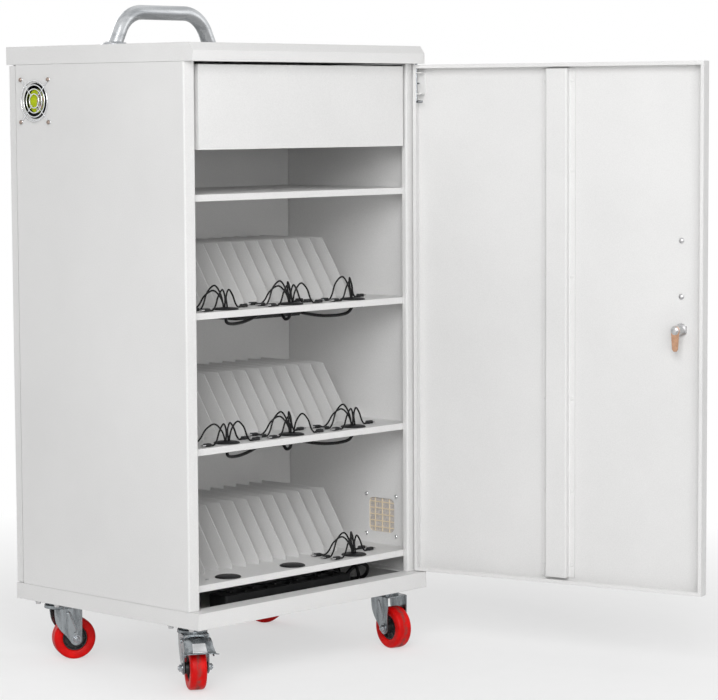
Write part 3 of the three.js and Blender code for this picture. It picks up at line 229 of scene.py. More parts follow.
class Graph:
    """A node tree under construction."""

    def __init__(self, tree: bpy.types.NodeTree) -> None:
        """Work on one tree."""
        self.tree = tree

    def node(self, kind: str, settings: dict[str, Any], inputs: dict[Any, Any], out: Any = 0) -> Signal:
        """Add any node.

        Args:
            kind: the node's type.
            settings: its attributes, which are set first.
            inputs: values or signals by socket name or number.
            out: the output that is wanted.

        Returns:
            The output, wrapped.
        """
        made = self.tree.nodes.new(kind)
        for key, value in settings.items():
            setattr(made, key, value)
        for key, value in inputs.items():
            self.feed(made.inputs[key], value)
        return Signal(self, made.outputs[out])

    def feed(self, socket: bpy.types.NodeSocket, value: Any) -> None:
        """Link a signal to a socket, or set its value.

        Args:
            socket: the input.
            value: a signal, a number, a vector, or a colour of three parts.
        """
        if isinstance(value, Signal):
            self.tree.links.new(value.socket, socket)
        elif socket.type == "RGBA":
            socket.default_value = (*value, 1)
        else:
            socket.default_value = value

    def seen(self) -> Signal:
        """Tell a ray of the eye, direct or by way of a mirror or glass, from a ray of the lighting.

        Returns:
            One or more for the eye's, else zero.
        """
        direct = self.node("ShaderNodeLightPath", {}, {}, "Is Camera Ray")
        outs = direct.socket.node.outputs
        return direct + Signal(self, outs["Is Glossy Ray"]) + Signal(self, outs["Is Transmission Ray"])


class Shade(Graph):
    """A material under construction."""

    def __init__(self, name: str) -> None:
        """Start a material with one main shader.

        Args:
            name: the material's name.
        """
        self.material = bpy.data.materials.new(name)
        self.material.use_nodes = True
        super().__init__(self.material.node_tree)
        self.shader = self.tree.nodes["Principled BSDF"]

    def set(self, **values: Any) -> "Shade":
        """Set the main shader's sockets.

        Args:
            values: constants or signals by socket name, with _ for a space.

        Returns:
            This shade.
        """
        for key, value in values.items():
            self.feed(self.shader.inputs[key.replace("_", " ")], value)
        return self

    def place(self) -> Signal:
        """Object coordinates, in metres."""
        return self.node("ShaderNodeTexCoord", {}, {}, "Object")

    def parts(self, vector: Signal) -> tuple[Signal, Signal, Signal]:
        """Take a vector apart.

        Args:
            vector: the vector.

        Returns:
            Its X, Y and Z.
        """
        first = self.node("ShaderNodeSeparateXYZ", {}, {0: vector})
        outs = first.socket.node.outputs
        return first, Signal(self, outs[1]), Signal(self, outs[2])

    def noise(
        self, scale: float, detail: float = 3.0, rough: float = 0.5, stretch: Point = (1, 1, 1)
    ) -> Signal:
        """Noise over the object's place.

        Args:
            scale: cells to the metre.
            detail: octaves.
            rough: how strong the finer octaves are.
            stretch: factors on each axis.

        Returns:
            A value round a half.
        """
        where = self.place()
        if stretch != (1, 1, 1):
            where = self.node("ShaderNodeVectorMath", {"operation": "MULTIPLY"}, {0: where, 1: stretch})
        inputs = {"Vector": where, "Scale": scale, "Detail": detail, "Roughness": rough}
        return self.node("ShaderNodeTexNoise", {}, inputs)

    def band(self, value: Signal, low: float, high: float) -> Signal:
        """A value stretched so that low is zero and high is one, and kept between them."""
        return self.node("ShaderNodeMapRange", {}, {"Value": value, "From Min": low, "From Max": high})

    def blend(self, factor: Any, first: Any, second: Any) -> Signal:
        """Two colours mixed, from the first at factor zero to the second at one."""
        return self.node("ShaderNodeMix", {"data_type": "RGBA"}, {0: factor, 6: first, 7: second}, 2)

    def relief(self, height: Signal, strength: float, depth: float, edge: float = 0.0) -> "Shade":
        """Feed a bump to the normal.

        Args:
            height: the bump's height.
            strength: how much of it shows.
            depth: its height in metres.
            edge: a rounding radius for sharp edges, or zero.

        Returns:
            This shade.
        """
        inputs: dict[str, Any] = {"Height": height, "Strength": strength, "Distance": depth}
        if edge:
            inputs["Normal"] = self.node("ShaderNodeBevel", {"samples": 4}, {"Radius": edge})
        return self.set(Normal=self.node("ShaderNodeBump", {}, inputs))


@dataclass(frozen=True)
class PowderCoat:
    """Fine textured pale powder coat on folded sheet."""

    name: str = "pale_powder_coat"
    color: Point = (0.766, 0.763, 0.758)
    shade_color: Point = (0.688, 0.686, 0.682)
    cloud_scale: float = 3.0
    grain_scale: float = 520.0
    peel_scale: float = 190.0
    grain_share: float = 0.55
    tint_band: Pair = (0.35, 0.65)
    rough_band: Pair = (0.2, 0.8)
    roughness: float = 0.42
    uneven: float = 0.14
    gloss: float = 0.42
    peel_strength: float = 0.3
    peel_depth: float = 0.0004
    edge: float = 0.0009

    def make(self) -> bpy.types.Material:
        """Build the finish.

        Returns:
            The material.
        """
        shade = Shade(self.name)
        cloud = shade.noise(self.cloud_scale, detail=4.0, rough=0.6)
        grain = shade.noise(self.grain_scale, rough=0.6)
        peel = shade.noise(self.peel_scale, detail=2.0)
        mottled = cloud * (1 - self.grain_share) + grain * self.grain_share
        tint = shade.band(mottled, *self.tint_band)
        shade.set(Base_Color=shade.blend(tint, self.shade_color, self.color))
        rough = shade.band(grain, *self.rough_band) * self.uneven + self.roughness
        shade.set(Roughness=rough, Specular_IOR_Level=self.gloss)
        shade.relief(peel * 0.5 + grain * 0.5, self.peel_strength, self.peel_depth, self.edge)
        return shade.material


@dataclass(frozen=True)
class Moulded:
    """Moulded plastic with a spark-eroded grain and a little dust."""

    name: str
    color: Point
    roughness: float = 0.5
    grain: float = 1400.0
    dust: float = 0.12
    edge: float = 0.0006
    gloss: float = 0.5
    cloud_scale: float = 40.0
    dust_band: Pair = (0.45, 0.8)
    dust_keep: float = 0.6
    dust_grey: float = 0.1
    uneven: float = 0.2
    grain_strength: float = 0.2
    grain_depth: float = 0.0002

    def make(self) -> bpy.types.Material:
        """Build the finish.

        Returns:
            The material.
        """
        shade = Shade(self.name)
        fine = shade.noise(self.grain, detail=2.0)
        cloud = shade.noise(self.cloud_scale, detail=4.0, rough=0.6)
        dusty = tuple(self.dust_keep * part + self.dust_grey for part in self.color)
        settled = shade.band(cloud, *self.dust_band) * self.dust
        shade.set(Base_Color=shade.blend(settled, self.color, dusty))
        shade.set(Roughness=cloud * self.uneven + (self.roughness - self.uneven / 2))
        shade.set(Specular_IOR_Level=self.gloss)
        shade.relief(fine, self.grain_strength, self.grain_depth, self.edge)
        return shade.material


@dataclass(frozen=True)
class Plated:
    """Plated or passivated metal, brushed or bright, with dull patches; on the zinc and the satin tube these
    patches are partly painted dark reflections.
    """

    name: str
    color: Point
    dull_and_reflection: Point
    roughness: float
    patch: float
    brush: float
    edge: float = 0.0006
    stretch: Point = (1, 1, 1)
    stain_and_reflection_band: Pair = (0.4, 0.7)
    streak_scale: float = 500.0
    streak_stretch: Point = (1, 1, 0.04)
    streak_strength: float = 0.06
    brush_strength: float = 0.3
    streak_depth: float = 0.0002
    uneven: float = 0.14

    def make(self) -> bpy.types.Material:
        """Build the finish.

        Returns:
            The material.
        """
        shade = Shade(self.name)
        cloud = shade.noise(self.patch, detail=5.0, rough=0.65, stretch=self.stretch)
        streak = shade.noise(self.streak_scale, rough=0.6, stretch=self.streak_stretch)
        # Mask of the dull colour: dulling of the plating, and on the zinc and the satin tube painted dark
        # reflections as well.
        stain_and_reflection = shade.band(cloud, *self.stain_and_reflection_band)
        shade.set(Metallic=1.0, Base_Color=shade.blend(stain_and_reflection, self.color, self.dull_and_reflection))
        shade.set(Roughness=stain_and_reflection * self.uneven + streak * self.brush + self.roughness)
        strength = self.streak_strength + self.brush * self.brush_strength
        shade.relief(streak, strength, self.streak_depth, self.edge)
        return shade.material


@dataclass(frozen=True)
class Tread:
    """Red cast tread, scuffed grey along its running line, in metres."""

    name: str = "red_cast_tread"
    color: Point = (0.72, 0.004, 0.003)
    deep: Point = (0.54, 0.002, 0.002)
    scuff: Point = (0.16, 0.07, 0.06)
    radius: float = 0.040
    scuff_begins: float = 0.0016
    scuff_full: float = 0.0002
    line_half: float = 0.006
    line_core: float = 0.0015
    wander: float = 0.006
    wander_scale: float = 60.0
    patch_scale: float = 110.0
    patch_band: Pair = (0.38, 0.58)
    cloud_scale: float = 35.0
    cloud_band: Pair = (0.35, 0.7)
    skin_scale: float = 700.0
    scuff_share: float = 0.8
    roughness: float = 0.38
    worn_roughness: float = 0.3
    cloud_roughness: float = 0.08
    gloss: float = 0.16
    relief_strength: float = 0.15
    relief_depth: float = 0.0003

    def make(self) -> bpy.types.Material:
        """Build the finish; the wheel's axle runs along the piece's own X.

        Returns:
            The material.
        """
        shade = Shade(self.name)
        across, y, z = shade.parts(shade.place())
        reach = (y * y + z * z) ** 0.5
        running = shade.band(reach, self.radius - self.scuff_begins, self.radius - self.scuff_full)
        off_line = abs(across + (shade.noise(self.wander_scale) - 0.5) * self.wander)
        middle = shade.band(off_line, self.line_half, self.line_core)
        patch = shade.band(shade.noise(self.patch_scale, detail=6.0, rough=0.7), *self.patch_band)
        worn = (running * middle * patch).clamped()
        cloud = shade.band(shade.noise(self.cloud_scale), *self.cloud_band)
        cast = shade.blend(cloud, self.deep, self.color)
        shade.set(Base_Color=shade.blend(worn * self.scuff_share, cast, self.scuff))
        rough = worn * self.worn_roughness + cloud * self.cloud_roughness + self.roughness
        shade.set(Roughness=rough, Specular_IOR_Level=self.gloss)
        skin = shade.noise(self.skin_scale) * 0.5 + worn * 0.5
        shade.relief(skin, self.relief_strength, self.relief_depth)
        return shade.material


@dataclass(frozen=True)
class Sticker:
    """A plain hub label, in metres: lime with a pale sector of small marks that spell nothing."""

    name: str = "lime_hub_label"
    color: Point = (0.45, 0.55, 0.008)
    bright: Point = (0.6, 0.68, 0.04)
    pale: Point = (0.62, 0.64, 0.5)
    ink: Point = (0.03, 0.03, 0.03)
    red: Point = (0.5, 0.03, 0.03)
    sector_edge: float = -0.002
    sector_slope: float = 0.15
    sector_reach: float = 0.0205
    mottle_scale: float = 300.0
    mottle_band: Pair = (0.2, 0.9)
    mottle_share: float = 0.25
    mark_scale: float = 420.0
    mark_stretch: Point = (1, 0.5, 1.6)
    mark_from: float = 0.54
    spot_scale: float = 160.0
    spot_from: float = 0.6
    roughness: float = 0.32
    uneven: float = 0.6
    gloss: float = 0.15

    def make(self) -> bpy.types.Material:
        """Build the finish; the hub's axle runs along the piece's own X.

        Returns:
            The material.
        """
        shade = Shade(self.name)
        _, y, z = shade.parts(shade.place())
        reach = (y * y + z * z) ** 0.5
        mottled = shade.band(shade.noise(self.mottle_scale), *self.mottle_band) * self.mottle_share
        ground = shade.blend(mottled, self.color, self.bright)
        sector = (y + z * self.sector_slope < self.sector_edge) * (reach < self.sector_reach)
        print_noise = shade.noise(self.mark_scale, detail=1.0, stretch=self.mark_stretch)
        marks = (print_noise > self.mark_from) * sector
        spots = (shade.noise(self.spot_scale, detail=1.0) > self.spot_from) * sector
        printed = shade.blend(spots, shade.blend(marks, self.pale, self.ink), self.red)
        shade.set(Base_Color=shade.blend(sector, ground, printed))
        shade.set(Roughness=mottled * self.uneven + self.roughness, Specular_IOR_Level=self.gloss)
        return shade.material


@dataclass(frozen=True)
class FilterMat:
    """Thin pale dust mat of crossed fibres."""

    name: str = "pale_filter_mat"
    color: Point = (0.68, 0.64, 0.61)
    deep: Point = (0.38, 0.345, 0.325)
    fibre_scale: float = 900.0
    upright: Point = (1, 1, 0.25)
    level: Point = (1, 0.25, 1)
    fibre_band: Pair = (0.35, 0.6)
    roughness: float = 0.95
    fibre_strength: float = 0.6
    fibre_depth: float = 0.0005

    def make(self) -> bpy.types.Material:
        """Build the finish.

        Returns:
            The material.
        """
        shade = Shade(self.name)
        upright = shade.noise(self.fibre_scale, rough=0.6, stretch=self.upright)
        level = shade.noise(self.fibre_scale, rough=0.6, stretch=self.level)
        fibres = upright * 0.5 + level * 0.5
        shade.set(Base_Color=shade.blend(shade.band(fibres, *self.fibre_band), self.deep, self.color))
        shade.set(Roughness=self.roughness)
        shade.relief(fibres, self.fibre_strength, self.fibre_depth)
        return shade.material


class Finishes:
    """All the cart's finishes, made once."""

    def __init__(self) -> None:
        """Make every material."""
        self.coat = PowderCoat().make()
        self._mould()
        self._plate()
        self.felt = FilterMat().make()
        self.tread = Tread().make()
        self.label = Sticker().make()

    def _mould(self) -> None:
        """Make the plastics."""
        self.black = Moulded("black_moulding", (0.01, 0.0105, 0.0115), gloss=0.35).make()
        self.jacket = Moulded(
            "black_lead_jacket", (0.004, 0.004, 0.0045), roughness=0.42, grain=2400.0, dust=0.02,
            edge=0.0, gloss=0.25,
        ).make()
        self.core = Moulded(
            "dark_wheel_core", (0.009, 0.0095, 0.01), roughness=0.45, grain=900.0, dust=0.1,
        ).make()
        self.cream = Moulded(
            "cream_moulding", (0.82, 0.71, 0.53), roughness=0.45, grain=1200.0, dust=0.1,
        ).make()
        self.rocker = Moulded(
            "black_rocker", (0.012, 0.012, 0.013), roughness=0.3, grain=1200.0, dust=0.05,
        ).make()

    def _plate(self) -> None:
        """Make the metals."""
        self.chrome = Plated(
            "bright_chrome", (0.78, 0.79, 0.8), (0.62, 0.63, 0.645), roughness=0.12, patch=30.0, brush=0.04,
        ).make()
        # Satin tube: the dark bands stretched along X are painted reflections of dark surroundings, with some
        # brushing.
        self.satin = Plated(
            "satin_tube", (0.56, 0.575, 0.59), (0.31, 0.325, 0.34), roughness=0.18, patch=70.0, brush=0.12,
            edge=0.0, stretch=(0.08, 1, 1),
        ).make()
        # Zinc: the dark base colour and the dark upright patches are painted reflections of dark surroundings; the
        # mottling is partly the plating's own.
        self.zinc = Plated(
            "zinc_plate", (0.34, 0.365, 0.38), (0.06, 0.07, 0.078), roughness=0.18, patch=70.0, brush=0.08,
            stretch=(1, 1, 0.16),
        ).make()
        self.steel = Plated(
            "turned_steel", (0.6, 0.6, 0.6), (0.42, 0.42, 0.43), roughness=0.24, patch=200.0, brush=0.1,
        ).make()
        # Pale bright steel for the pedal's pad: a painted highlight of the tread's lit flat top.
        self.rubbed = Plated(
            "rubbed_bright_steel", (0.82, 0.83, 0.84), (0.66, 0.67, 0.68), roughness=0.3, patch=60.0,
            brush=0.1,
        ).make()
        # Dark plated nuts; on the door's spring bolt this finish is painted shade.
        self.nut = Plated(
            "dark_plated_nut", (0.42, 0.44, 0.46), (0.2, 0.215, 0.23), roughness=0.16, patch=300.0,
            brush=0.04,
        ).make()
        self.yellow = Plated(
            "yellow_passivate", (0.6, 0.36, 0.23), (0.44, 0.25, 0.17), roughness=0.22, patch=160.0,
            brush=0.06,
        ).make()
        self.bronze = Plated(
            "bronzed_screw", (0.34, 0.27, 0.23), (0.24, 0.2, 0.18), roughness=0.2, patch=300.0, brush=0.05,
        ).make()


def turns(count: int) -> list[float]:
    """Equal angles round a full turn."""
    return [2 * math.pi * i / count for i in range(count)]


def in_row(count: int, pitch: float) -> list[float]:
    """Equal steps to both sides of zero."""
    return [(i - (count - 1) / 2) * pitch for i in range(count)]


def mirrored(profile: Profile) -> list[Pair]:
    """A profile and then its mirror image beyond height zero."""
    return [*profile, *((radius, -height) for radius, height in reversed(profile))]


def lifted(profile: Profile, base: float) -> list[Pair]:
    """A profile set on a base height."""
    return [(radius, base + height) for radius, height in profile]


def spot(x: float, y: float, z: float) -> Matrix:
    """A move to a place in millimetres."""
    return Matrix.Translation((x, y, z))


def spin(degrees: float) -> Matrix:
    """A turn about Z."""
    return Matrix.Rotation(math.radians(degrees), 4, "Z")


def smooth_route(knots: Sequence[Point], steps: int = 6) -> list[Vector]:
    """A centripetal curve through points, as the solids' cords follow.

    Args:
        knots: the points it passes.
        steps: pieces between two of them.

    Returns:
        The points along it.
    """
    line = [Vector(k) for k in knots]
    line = [line[0] * 2 - line[1], *line, line[-1] * 2 - line[-2]]
    route: list[Vector] = []
    for a, b, c, d in zip(line, line[1:], line[2:], line[3:]):
        t1 = (b - a).length ** 0.5
        t2 = t1 + (c - b).length ** 0.5
        t3 = t2 + (d - c).length ** 0.5
        for i in range(steps):
            t = t1 + (t2 - t1) * i / steps
            ab = a * ((t1 - t) / t1) + b * (t / t1)
            bc = b * ((t2 - t) / (t2 - t1)) + c * ((t - t1) / (t2 - t1))
            cd = c * ((t3 - t) / (t3 - t2)) + d * ((t - t2) / (t3 - t2))
            abc = ab * ((t2 - t) / t2) + bc * (t / t2)
            bcd = bc * ((t3 - t) / (t3 - t1)) + cd * ((t - t1) / (t3 - t1))
            route.append(abc * ((t2 - t) / (t2 - t1)) + bcd * ((t - t1) / (t2 - t1)))
    route.append(line[-2])
    return route


class Mould:
    """Collects mesh forms in millimetres and makes one Blender object of them."""

    def __init__(self) -> None:
        """Start empty."""
        self.mesh = bmesh.new()

    def _add(self, points: Iterable[Sequence[float]], faces: Iterable[Sequence[int]], turn: Matrix) -> None:
        """Add a form to the mesh.

        Args:
            points: its points.
            faces: its faces, as numbers of points.
            turn: where it goes.
        """
        verts = [self.mesh.verts.new(turn @ Vector(p)) for p in points]
        for face in faces:
            self.mesh.faces.new([verts[i] for i in face])

    @staticmethod
    def _bands(rings: int, sides: int, closed: bool) -> list[list[int]]:
        """Join rings of points one after another.

        Args:
            rings: how many there are.
            sides: points to a ring.
            closed: whether the last joins the first.

        Returns:
            Faces, as numbers of points.
        """
        faces = []
        for i in range(rings if closed else rings - 1):
            step = ((i + 1) % rings - i) * sides
            for k in range(sides):
                a, b = i * sides + k, i * sides + (k + 1) % sides
                faces.append([a, b, b + step, a + step])
        return faces

    @staticmethod
    def _caps(rings: int, sides: int) -> list[list[int]]:
        """The faces that close the first and the last ring."""
        last = (rings - 1) * sides
        return [list(range(sides))[::-1], [last + k for k in range(sides)]]

    def spun(
        self, profile: Profile, segments: int, turn: Matrix = Matrix(), closed: bool = False
    ) -> "Mould":
        """Revolve a profile of (radius, height) about Z.

        Args:
            profile: from the axis or a closed loop, upwards on the outside.
            segments: steps round.
            turn: where the form goes.
            closed: whether the profile's ends join.

        Returns:
            This mould.
        """
        rings: list[list[int]] = []
        points: list[Point] = []
        for radius, height in profile:
            angles = turns(segments) if radius else [0.0]
            rings.append([len(points) + i % len(angles) for i in range(segments)])
            points += [(radius * math.cos(angle), radius * math.sin(angle), height) for angle in angles]
        pairs = list(zip(rings, rings[1:]))
        if closed:
            pairs.append((rings[-1], rings[0]))
        faces = []
        for low, high in pairs:
            for i in range(segments):
                j = (i + 1) % segments
                faces.append(list(dict.fromkeys([low[i], low[j], high[j], high[i]])))
        self._add(points, faces, turn)
        return self

    def tube(self, path: Section, radius: float, sides: int, loop: bool = False) -> "Mould":
        """Sweep a circle along points.

        Args:
            path: the centre line.
            radius: the tube's radius.
            sides: facets round.
            loop: whether the path closes.

        Returns:
            This mould.
        """
        line = [Vector(p) for p in path]
        count = len(line)
        normal: Vector | None = None
        points: list[Vector] = []
        for i, here in enumerate(line):
            after = line[(i + 1) % count] if loop or i + 1 < count else here
            before = line[i - 1] if loop or i else here
            ahead = (after - before).normalized()
            if normal is None:
                normal = ahead.orthogonal().normalized()
            normal = (normal - ahead * normal.dot(ahead)).normalized()
            across = ahead.cross(normal)
            for angle in turns(sides):
                points.append(here + (normal * math.cos(angle) + across * math.sin(angle)) * radius)
        faces = self._bands(count, sides, loop)
        if not loop:
            faces += self._caps(count, sides)
        self._add(points, faces, Matrix())
        return self

    def slab(self, low: Point, high: Point, turn: Matrix = Matrix()) -> "Mould":
        """Add a box.

        Args:
            low: its lowest corner.
            high: its highest corner.
            turn: where it goes.

        Returns:
            This mould.
        """
        (x0, y0, z0), (x1, y1, z1) = low, high
        points = [(x, y, z) for z in (z0, z1) for y in (y0, y1) for x in (x0, x1)]
        faces = [(0, 2, 3, 1), (4, 5, 7, 6), (0, 1, 5, 4), (2, 6, 7, 3), (0, 4, 6, 2), (1, 3, 7, 5)]
        self._add(points, faces, turn)
        return self

    def loft(self, sections: Sequence[Section], turn: Matrix = Matrix()) -> "Mould":
        """Join equal closed sections one after another and cap the ends.

        Args:
            sections: loops of as many points.
            turn: where the form goes.

        Returns:
            This mould.
        """
        count, sides = len(sections), len(sections[0])
        first, last = self._caps(count, sides)
        faces = [first, *self._bands(count, sides, False), last]
        self._add([p for section in sections for p in section], faces, turn)
        return self

    def belt(self, loops: Sequence[Section]) -> "Mould":
        """Join equal loops one after another and the last to the first.

        Args:
            loops: loops of as many points.

        Returns:
            This mould.
        """
        faces = self._bands(len(loops), len(loops[0]), True)
        self._add([p for loop in loops for p in loop], faces, Matrix())
        return self

    def piece(
        self, name: str, finish: bpy.types.Material, body: str, slot: Slot, bevel: float = 0.0,
        at: Matrix = Matrix(),
    ) -> bpy.types.Object:
        """Make the object.

        Args:
            name: the piece's name.
            finish: its material.
            body: the frame's body that carries it.
            slot: the record's material slot; not used.
            bevel: edge rounding in millimetres, or zero.
            at: the object's own place, in millimetres.

        Returns:
            The object, in metres.
        """
        bmesh.ops.recalc_face_normals(self.mesh, faces=self.mesh.faces)
        for vert in self.mesh.verts:
            vert.co *= MM
        data = bpy.data.meshes.new(name)
        self.mesh.to_mesh(data)
        self.mesh.free()
        data.shade_smooth()
        data.set_sharp_from_angle(angle=SHARP_ANGLE)
        data.materials.append(finish)
        made = bpy.data.objects.new(name, data)
        bpy.context.scene.collection.objects.link(made)
        place = at.copy()
        place.translation *= MM
        made.matrix_world = place
        if bevel:
            self._round_edges(made, bevel)
        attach(made, body)
        LOG.info("piece %s on %s", name, body)
        return made

    @staticmethod
    def _round_edges(made: bpy.types.Object, width: float) -> None:
        """Round an object's sharp edges.

        Args:
            made: the object.
            width: the rounding in millimetres.
        """
        edges = made.modifiers.new("edge_round", "BEVEL")
        edges.width = width * MM
        edges.segments = ROUNDING_STEPS
        edges.limit_method = "ANGLE"
        edges.angle_limit = SHARP_ANGLE
        edges.harden_normals = True


@dataclass(frozen=True)
class Fastener:
    """A small screw or nut, in millimetres: a pan head with a recess, or a hex on a washer."""

    diameter: float
    height: float
    pan_shape: Profile = ((0, 0), (1, 0), (1, 0.4), (0.8, 0.8), (0.42, 1), (0, 0.45))
    washer_shape: Profile = ((0, 0), (1.35, 0), (1.35, 0.2), (0, 0.2))
    hex_shape: Profile = ((0, 0.1), (1, 0.1), (1, 0.9), (0.82, 1), (0, 1))

    def _sized(self, shape: Profile) -> list[Pair]:
        """A shape of shares of the head's radius and height, in millimetres."""
        return [(self.diameter / 2 * out, self.height * up) for out, up in shape]

    def pan(self, mould: Mould, turn: Matrix) -> None:
        """Add a domed head with a recess to a mould."""
        mould.spun(self._sized(self.pan_shape), segments=20, turn=turn)

    def hex(self, mould: Mould, turn: Matrix) -> None:
        """Add a hex head on a washer to a mould."""
        mould.spun(self._sized(self.washer_shape), segments=24, turn=turn)
        mould.spun(self._sized(self.hex_shape), segments=6, turn=turn)


@dataclass
class Fitting:
    """A sub-assembly, dressed with the cart's finishes."""

    finishes: Finishes


@dataclass
class Castor(Fitting):
    """One swivel castor's wheel, fork, fixings and pedal, in millimetres, its axle along its own X.

    Profiles are (radius, height). The tread's lip is (share of the radius, depth from the face) and its
    shoulder the rounding outwards and inwards. The rim's wall is its foot and its lip, in from the rim.
    A leg's sweep is (back from the front, height), and its bead's steps are (out of the leg, half width).
    """

    corner: Corner
    braked: bool
    radius: float = 40.0
    width: float = 30.0
    core_share: float = 0.58
    tread_lip: Profile = ((0.58, 4.0), (0.61, 1.2), (0.66, 0.2), (0.84, 0.0))
    shoulder: Pair = (5.0, 6.0)
    shoulder_steps: int = 6
    land: float = 10.0
    boss: Profile = ((4.3, -20.4), (9.0, -20.4), (10.6, -19.4), (11.5, -9.0))
    rim_wall: Pair = (3.5, 2.0)
    web: float = 8.0
    recess: float = 3.0
    ribs: int = 8
    rib_half: Pair = (11.0, 1.2)
    rib_root: float = 9.0
    rib_gap: float = 1.0
    fork_gap: float = 21.0
    sheet: float = 2.6
    crown_top: float = -13.8
    crown: Profile = ((5.4, 0.0), (25.0, 0.0), (27.0, 0.5), (27.6, 1.4), (27.0, 2.6), (5.4, 2.6))
    race: Profile = ((24.8, -0.6), (27.2, -0.6), (27.2, 3.4), (26.2, 4.6), (24.8, 4.6))
    leg_front: float = 13.0
    leg_straight: float = 12.0
    leg_sweep: Profile = ((3.0, -43.0), (11.0, -57.0), (22.0, -69.0))
    sweep_steps: int = 4
    leg_round: float = 12.0
    round_from: float = -20.0
    round_step: float = -10.0
    round_count: int = 14
    bead_top: Point = (0, -13.0, -27.0)
    bead_end: Point = (0, -25.0, -57.0)
    bead_steps: Profile = ((-0.4, 6.0), (0.5, 5.2), (1.2, 3.4), (1.4, 1.6))
    bead_points: int = 24
    axle_radius: float = 4.0
    washer: Profile = ((4.0, 0.2), (9.0, 0.2), (9.0, 1.6), (4.0, 1.6))
    nut: Profile = ((0, 1.5), (6.4, 1.5), (6.4, 5.4), (5.5, 6.4), (0, 6.4))
    bolt_end: Profile = ((0, 6.0), (3.8, 6.0), (3.8, 7.6), (3.1, 8.2), (0, 8.2))
    plate_bolt: Fastener = Fastener(10.0, 6.0)
    plate_under: float = -3.3
    plate_bolt_reach: float = 27.0

    @property
    def pin(self) -> Point:
        """The king pin's place."""
        return Joint.of(f"castor_swivel_{self.corner.value}").place

    @property
    def axle(self) -> Joint:
        """The wheel's hinge."""
        return Joint.of(f"wheel_spin_{self.corner.value}")

    @property
    def trail(self) -> float:
        """How far the axle lies behind the king pin."""
        return round(math.dist(self.pin[:2], self.axle.place[:2]), 2)

    @property
    def heading(self) -> float:
        """The castor's turn about its king pin, in degrees."""
        x, y, _ = self.axle.axis
        return round(math.degrees(math.atan2(y, x)), 2)

    @property
    def fork_out(self) -> float:
        """A leg's outer face, from the middle."""
        return self.fork_gap + self.sheet

    def build(self) -> None:
        """Make the wheel, the fork with its axle, the plate bolts and the pedal of a braked castor."""
        x, y, _ = self.pin
        swivel = spot(x, y, 0) @ spin(self.heading)
        hub = swivel @ spot(0, -self.trail, self.axle.place[2])
        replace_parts(self._tread(hub), f"castor_wheel_{self.corner.value}")
        self._core(hub)
        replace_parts(self._fork(swivel), f"castor_fork_{self.corner.value}")
        self._axle_nuts(hub)
        self._plate_bolts(spot(x, y, 0))
        if self.braked:
            pedal = BrakePedal(self.finishes, swivel).build()
            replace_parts(pedal, f"brake_pedal_{self.corner.value}")

    def _tread(self, hub: Matrix) -> bpy.types.Object:
        """Make the red tread, rounded at its shoulders.

        Args:
            hub: the wheel's place.

        Returns:
            The piece.
        """
        face = -self.width / 2
        out, deep = self.shoulder
        profile = [(self.radius * share, face + depth) for share, depth in self.tread_lip]
        for i in range(self.shoulder_steps + 1):
            angle = math.pi / 2 * i / self.shoulder_steps
            profile.append((self.radius - out + out * math.sin(angle), face + deep - deep * math.cos(angle)))
        profile.append((self.radius, face + self.land))
        mould = Mould().spun(mirrored(profile), segments=72, turn=Axis.RIGHT.turn, closed=True)
        name = self.corner.value
        return mould.piece(f"tread_{name}", self.finishes.tread, f"wheel_{name}", Slot.TREAD, at=hub)

    def _core(self, hub: Matrix) -> None:
        """Make the dark core: rim, web with ribs, and bearing boss.

        Args:
            hub: the wheel's place.
        """
        rim = self.radius * self.core_share
        face = -self.width / 2 + self.recess
        foot, lip = self.rim_wall
        profile = [*self.boss, (rim - foot, -self.web), (rim - lip, face), (rim, face)]
        mould = Mould().spun(mirrored(profile), segments=64, turn=Axis.RIGHT.turn, closed=True)
        x, y = self.rib_half
        for angle in turns(self.ribs):
            mould.slab((-x, -y, self.rib_root), (x, y, rim - self.rib_gap), Matrix.Rotation(angle, 4, "X"))
        name = self.corner.value
        mould.piece(f"core_{name}", self.finishes.core, f"wheel_{name}", Slot.TREAD, bevel=0.4, at=hub)

    def _leg(self) -> list[Pair]:
        """Draw a leg's outline: straight behind, swept in front, round below the axle.

        Returns:
            Its points in Y and Z.
        """
        top, front = self.crown_top, self.leg_front
        swept = [(0, front - back, z) for back, z in self.leg_sweep]
        sweep = smooth_route([(0, front, top - self.leg_straight), *swept, self._round(0)], self.sweep_steps)
        end = [self._round(i) for i in range(1, self.round_count + 1)]
        return [(-self.trail - self.leg_round, top), (front, top)] + [(p[1], p[2]) for p in [*sweep, *end]]

    def _round(self, step: int) -> Point:
        """One of the points on the round at a leg's end.

        Args:
            step: its number, from the front.

        Returns:
            Its place.
        """
        angle = math.radians(self.round_from + self.round_step * step)
        y = self.leg_round * math.cos(angle) - self.trail
        return (0, y, self.axle.place[2] + self.leg_round * math.sin(angle))

    def _bead(self, side: int) -> list[list[Point]]:
        """Shape the rib that is pressed out of a leg.

        Args:
            side: the leg's side.

        Returns:
            Its sections, outwards.
        """
        start, end = Vector(self.bead_top), Vector(self.bead_end)
        ahead = (end - start).normalized()
        across = Vector((0, ahead.z, -ahead.y))
        sections = []
        for reach, wide in self.bead_steps:
            ring = []
            for angle in turns(self.bead_points):
                centre = end if math.cos(angle) > 0 else start
                p = centre + ahead * wide * math.cos(angle) + across * wide * math.sin(angle)
                ring.append((side * (self.fork_out + reach), p.y, p.z))
            sections.append(ring)
        return sections

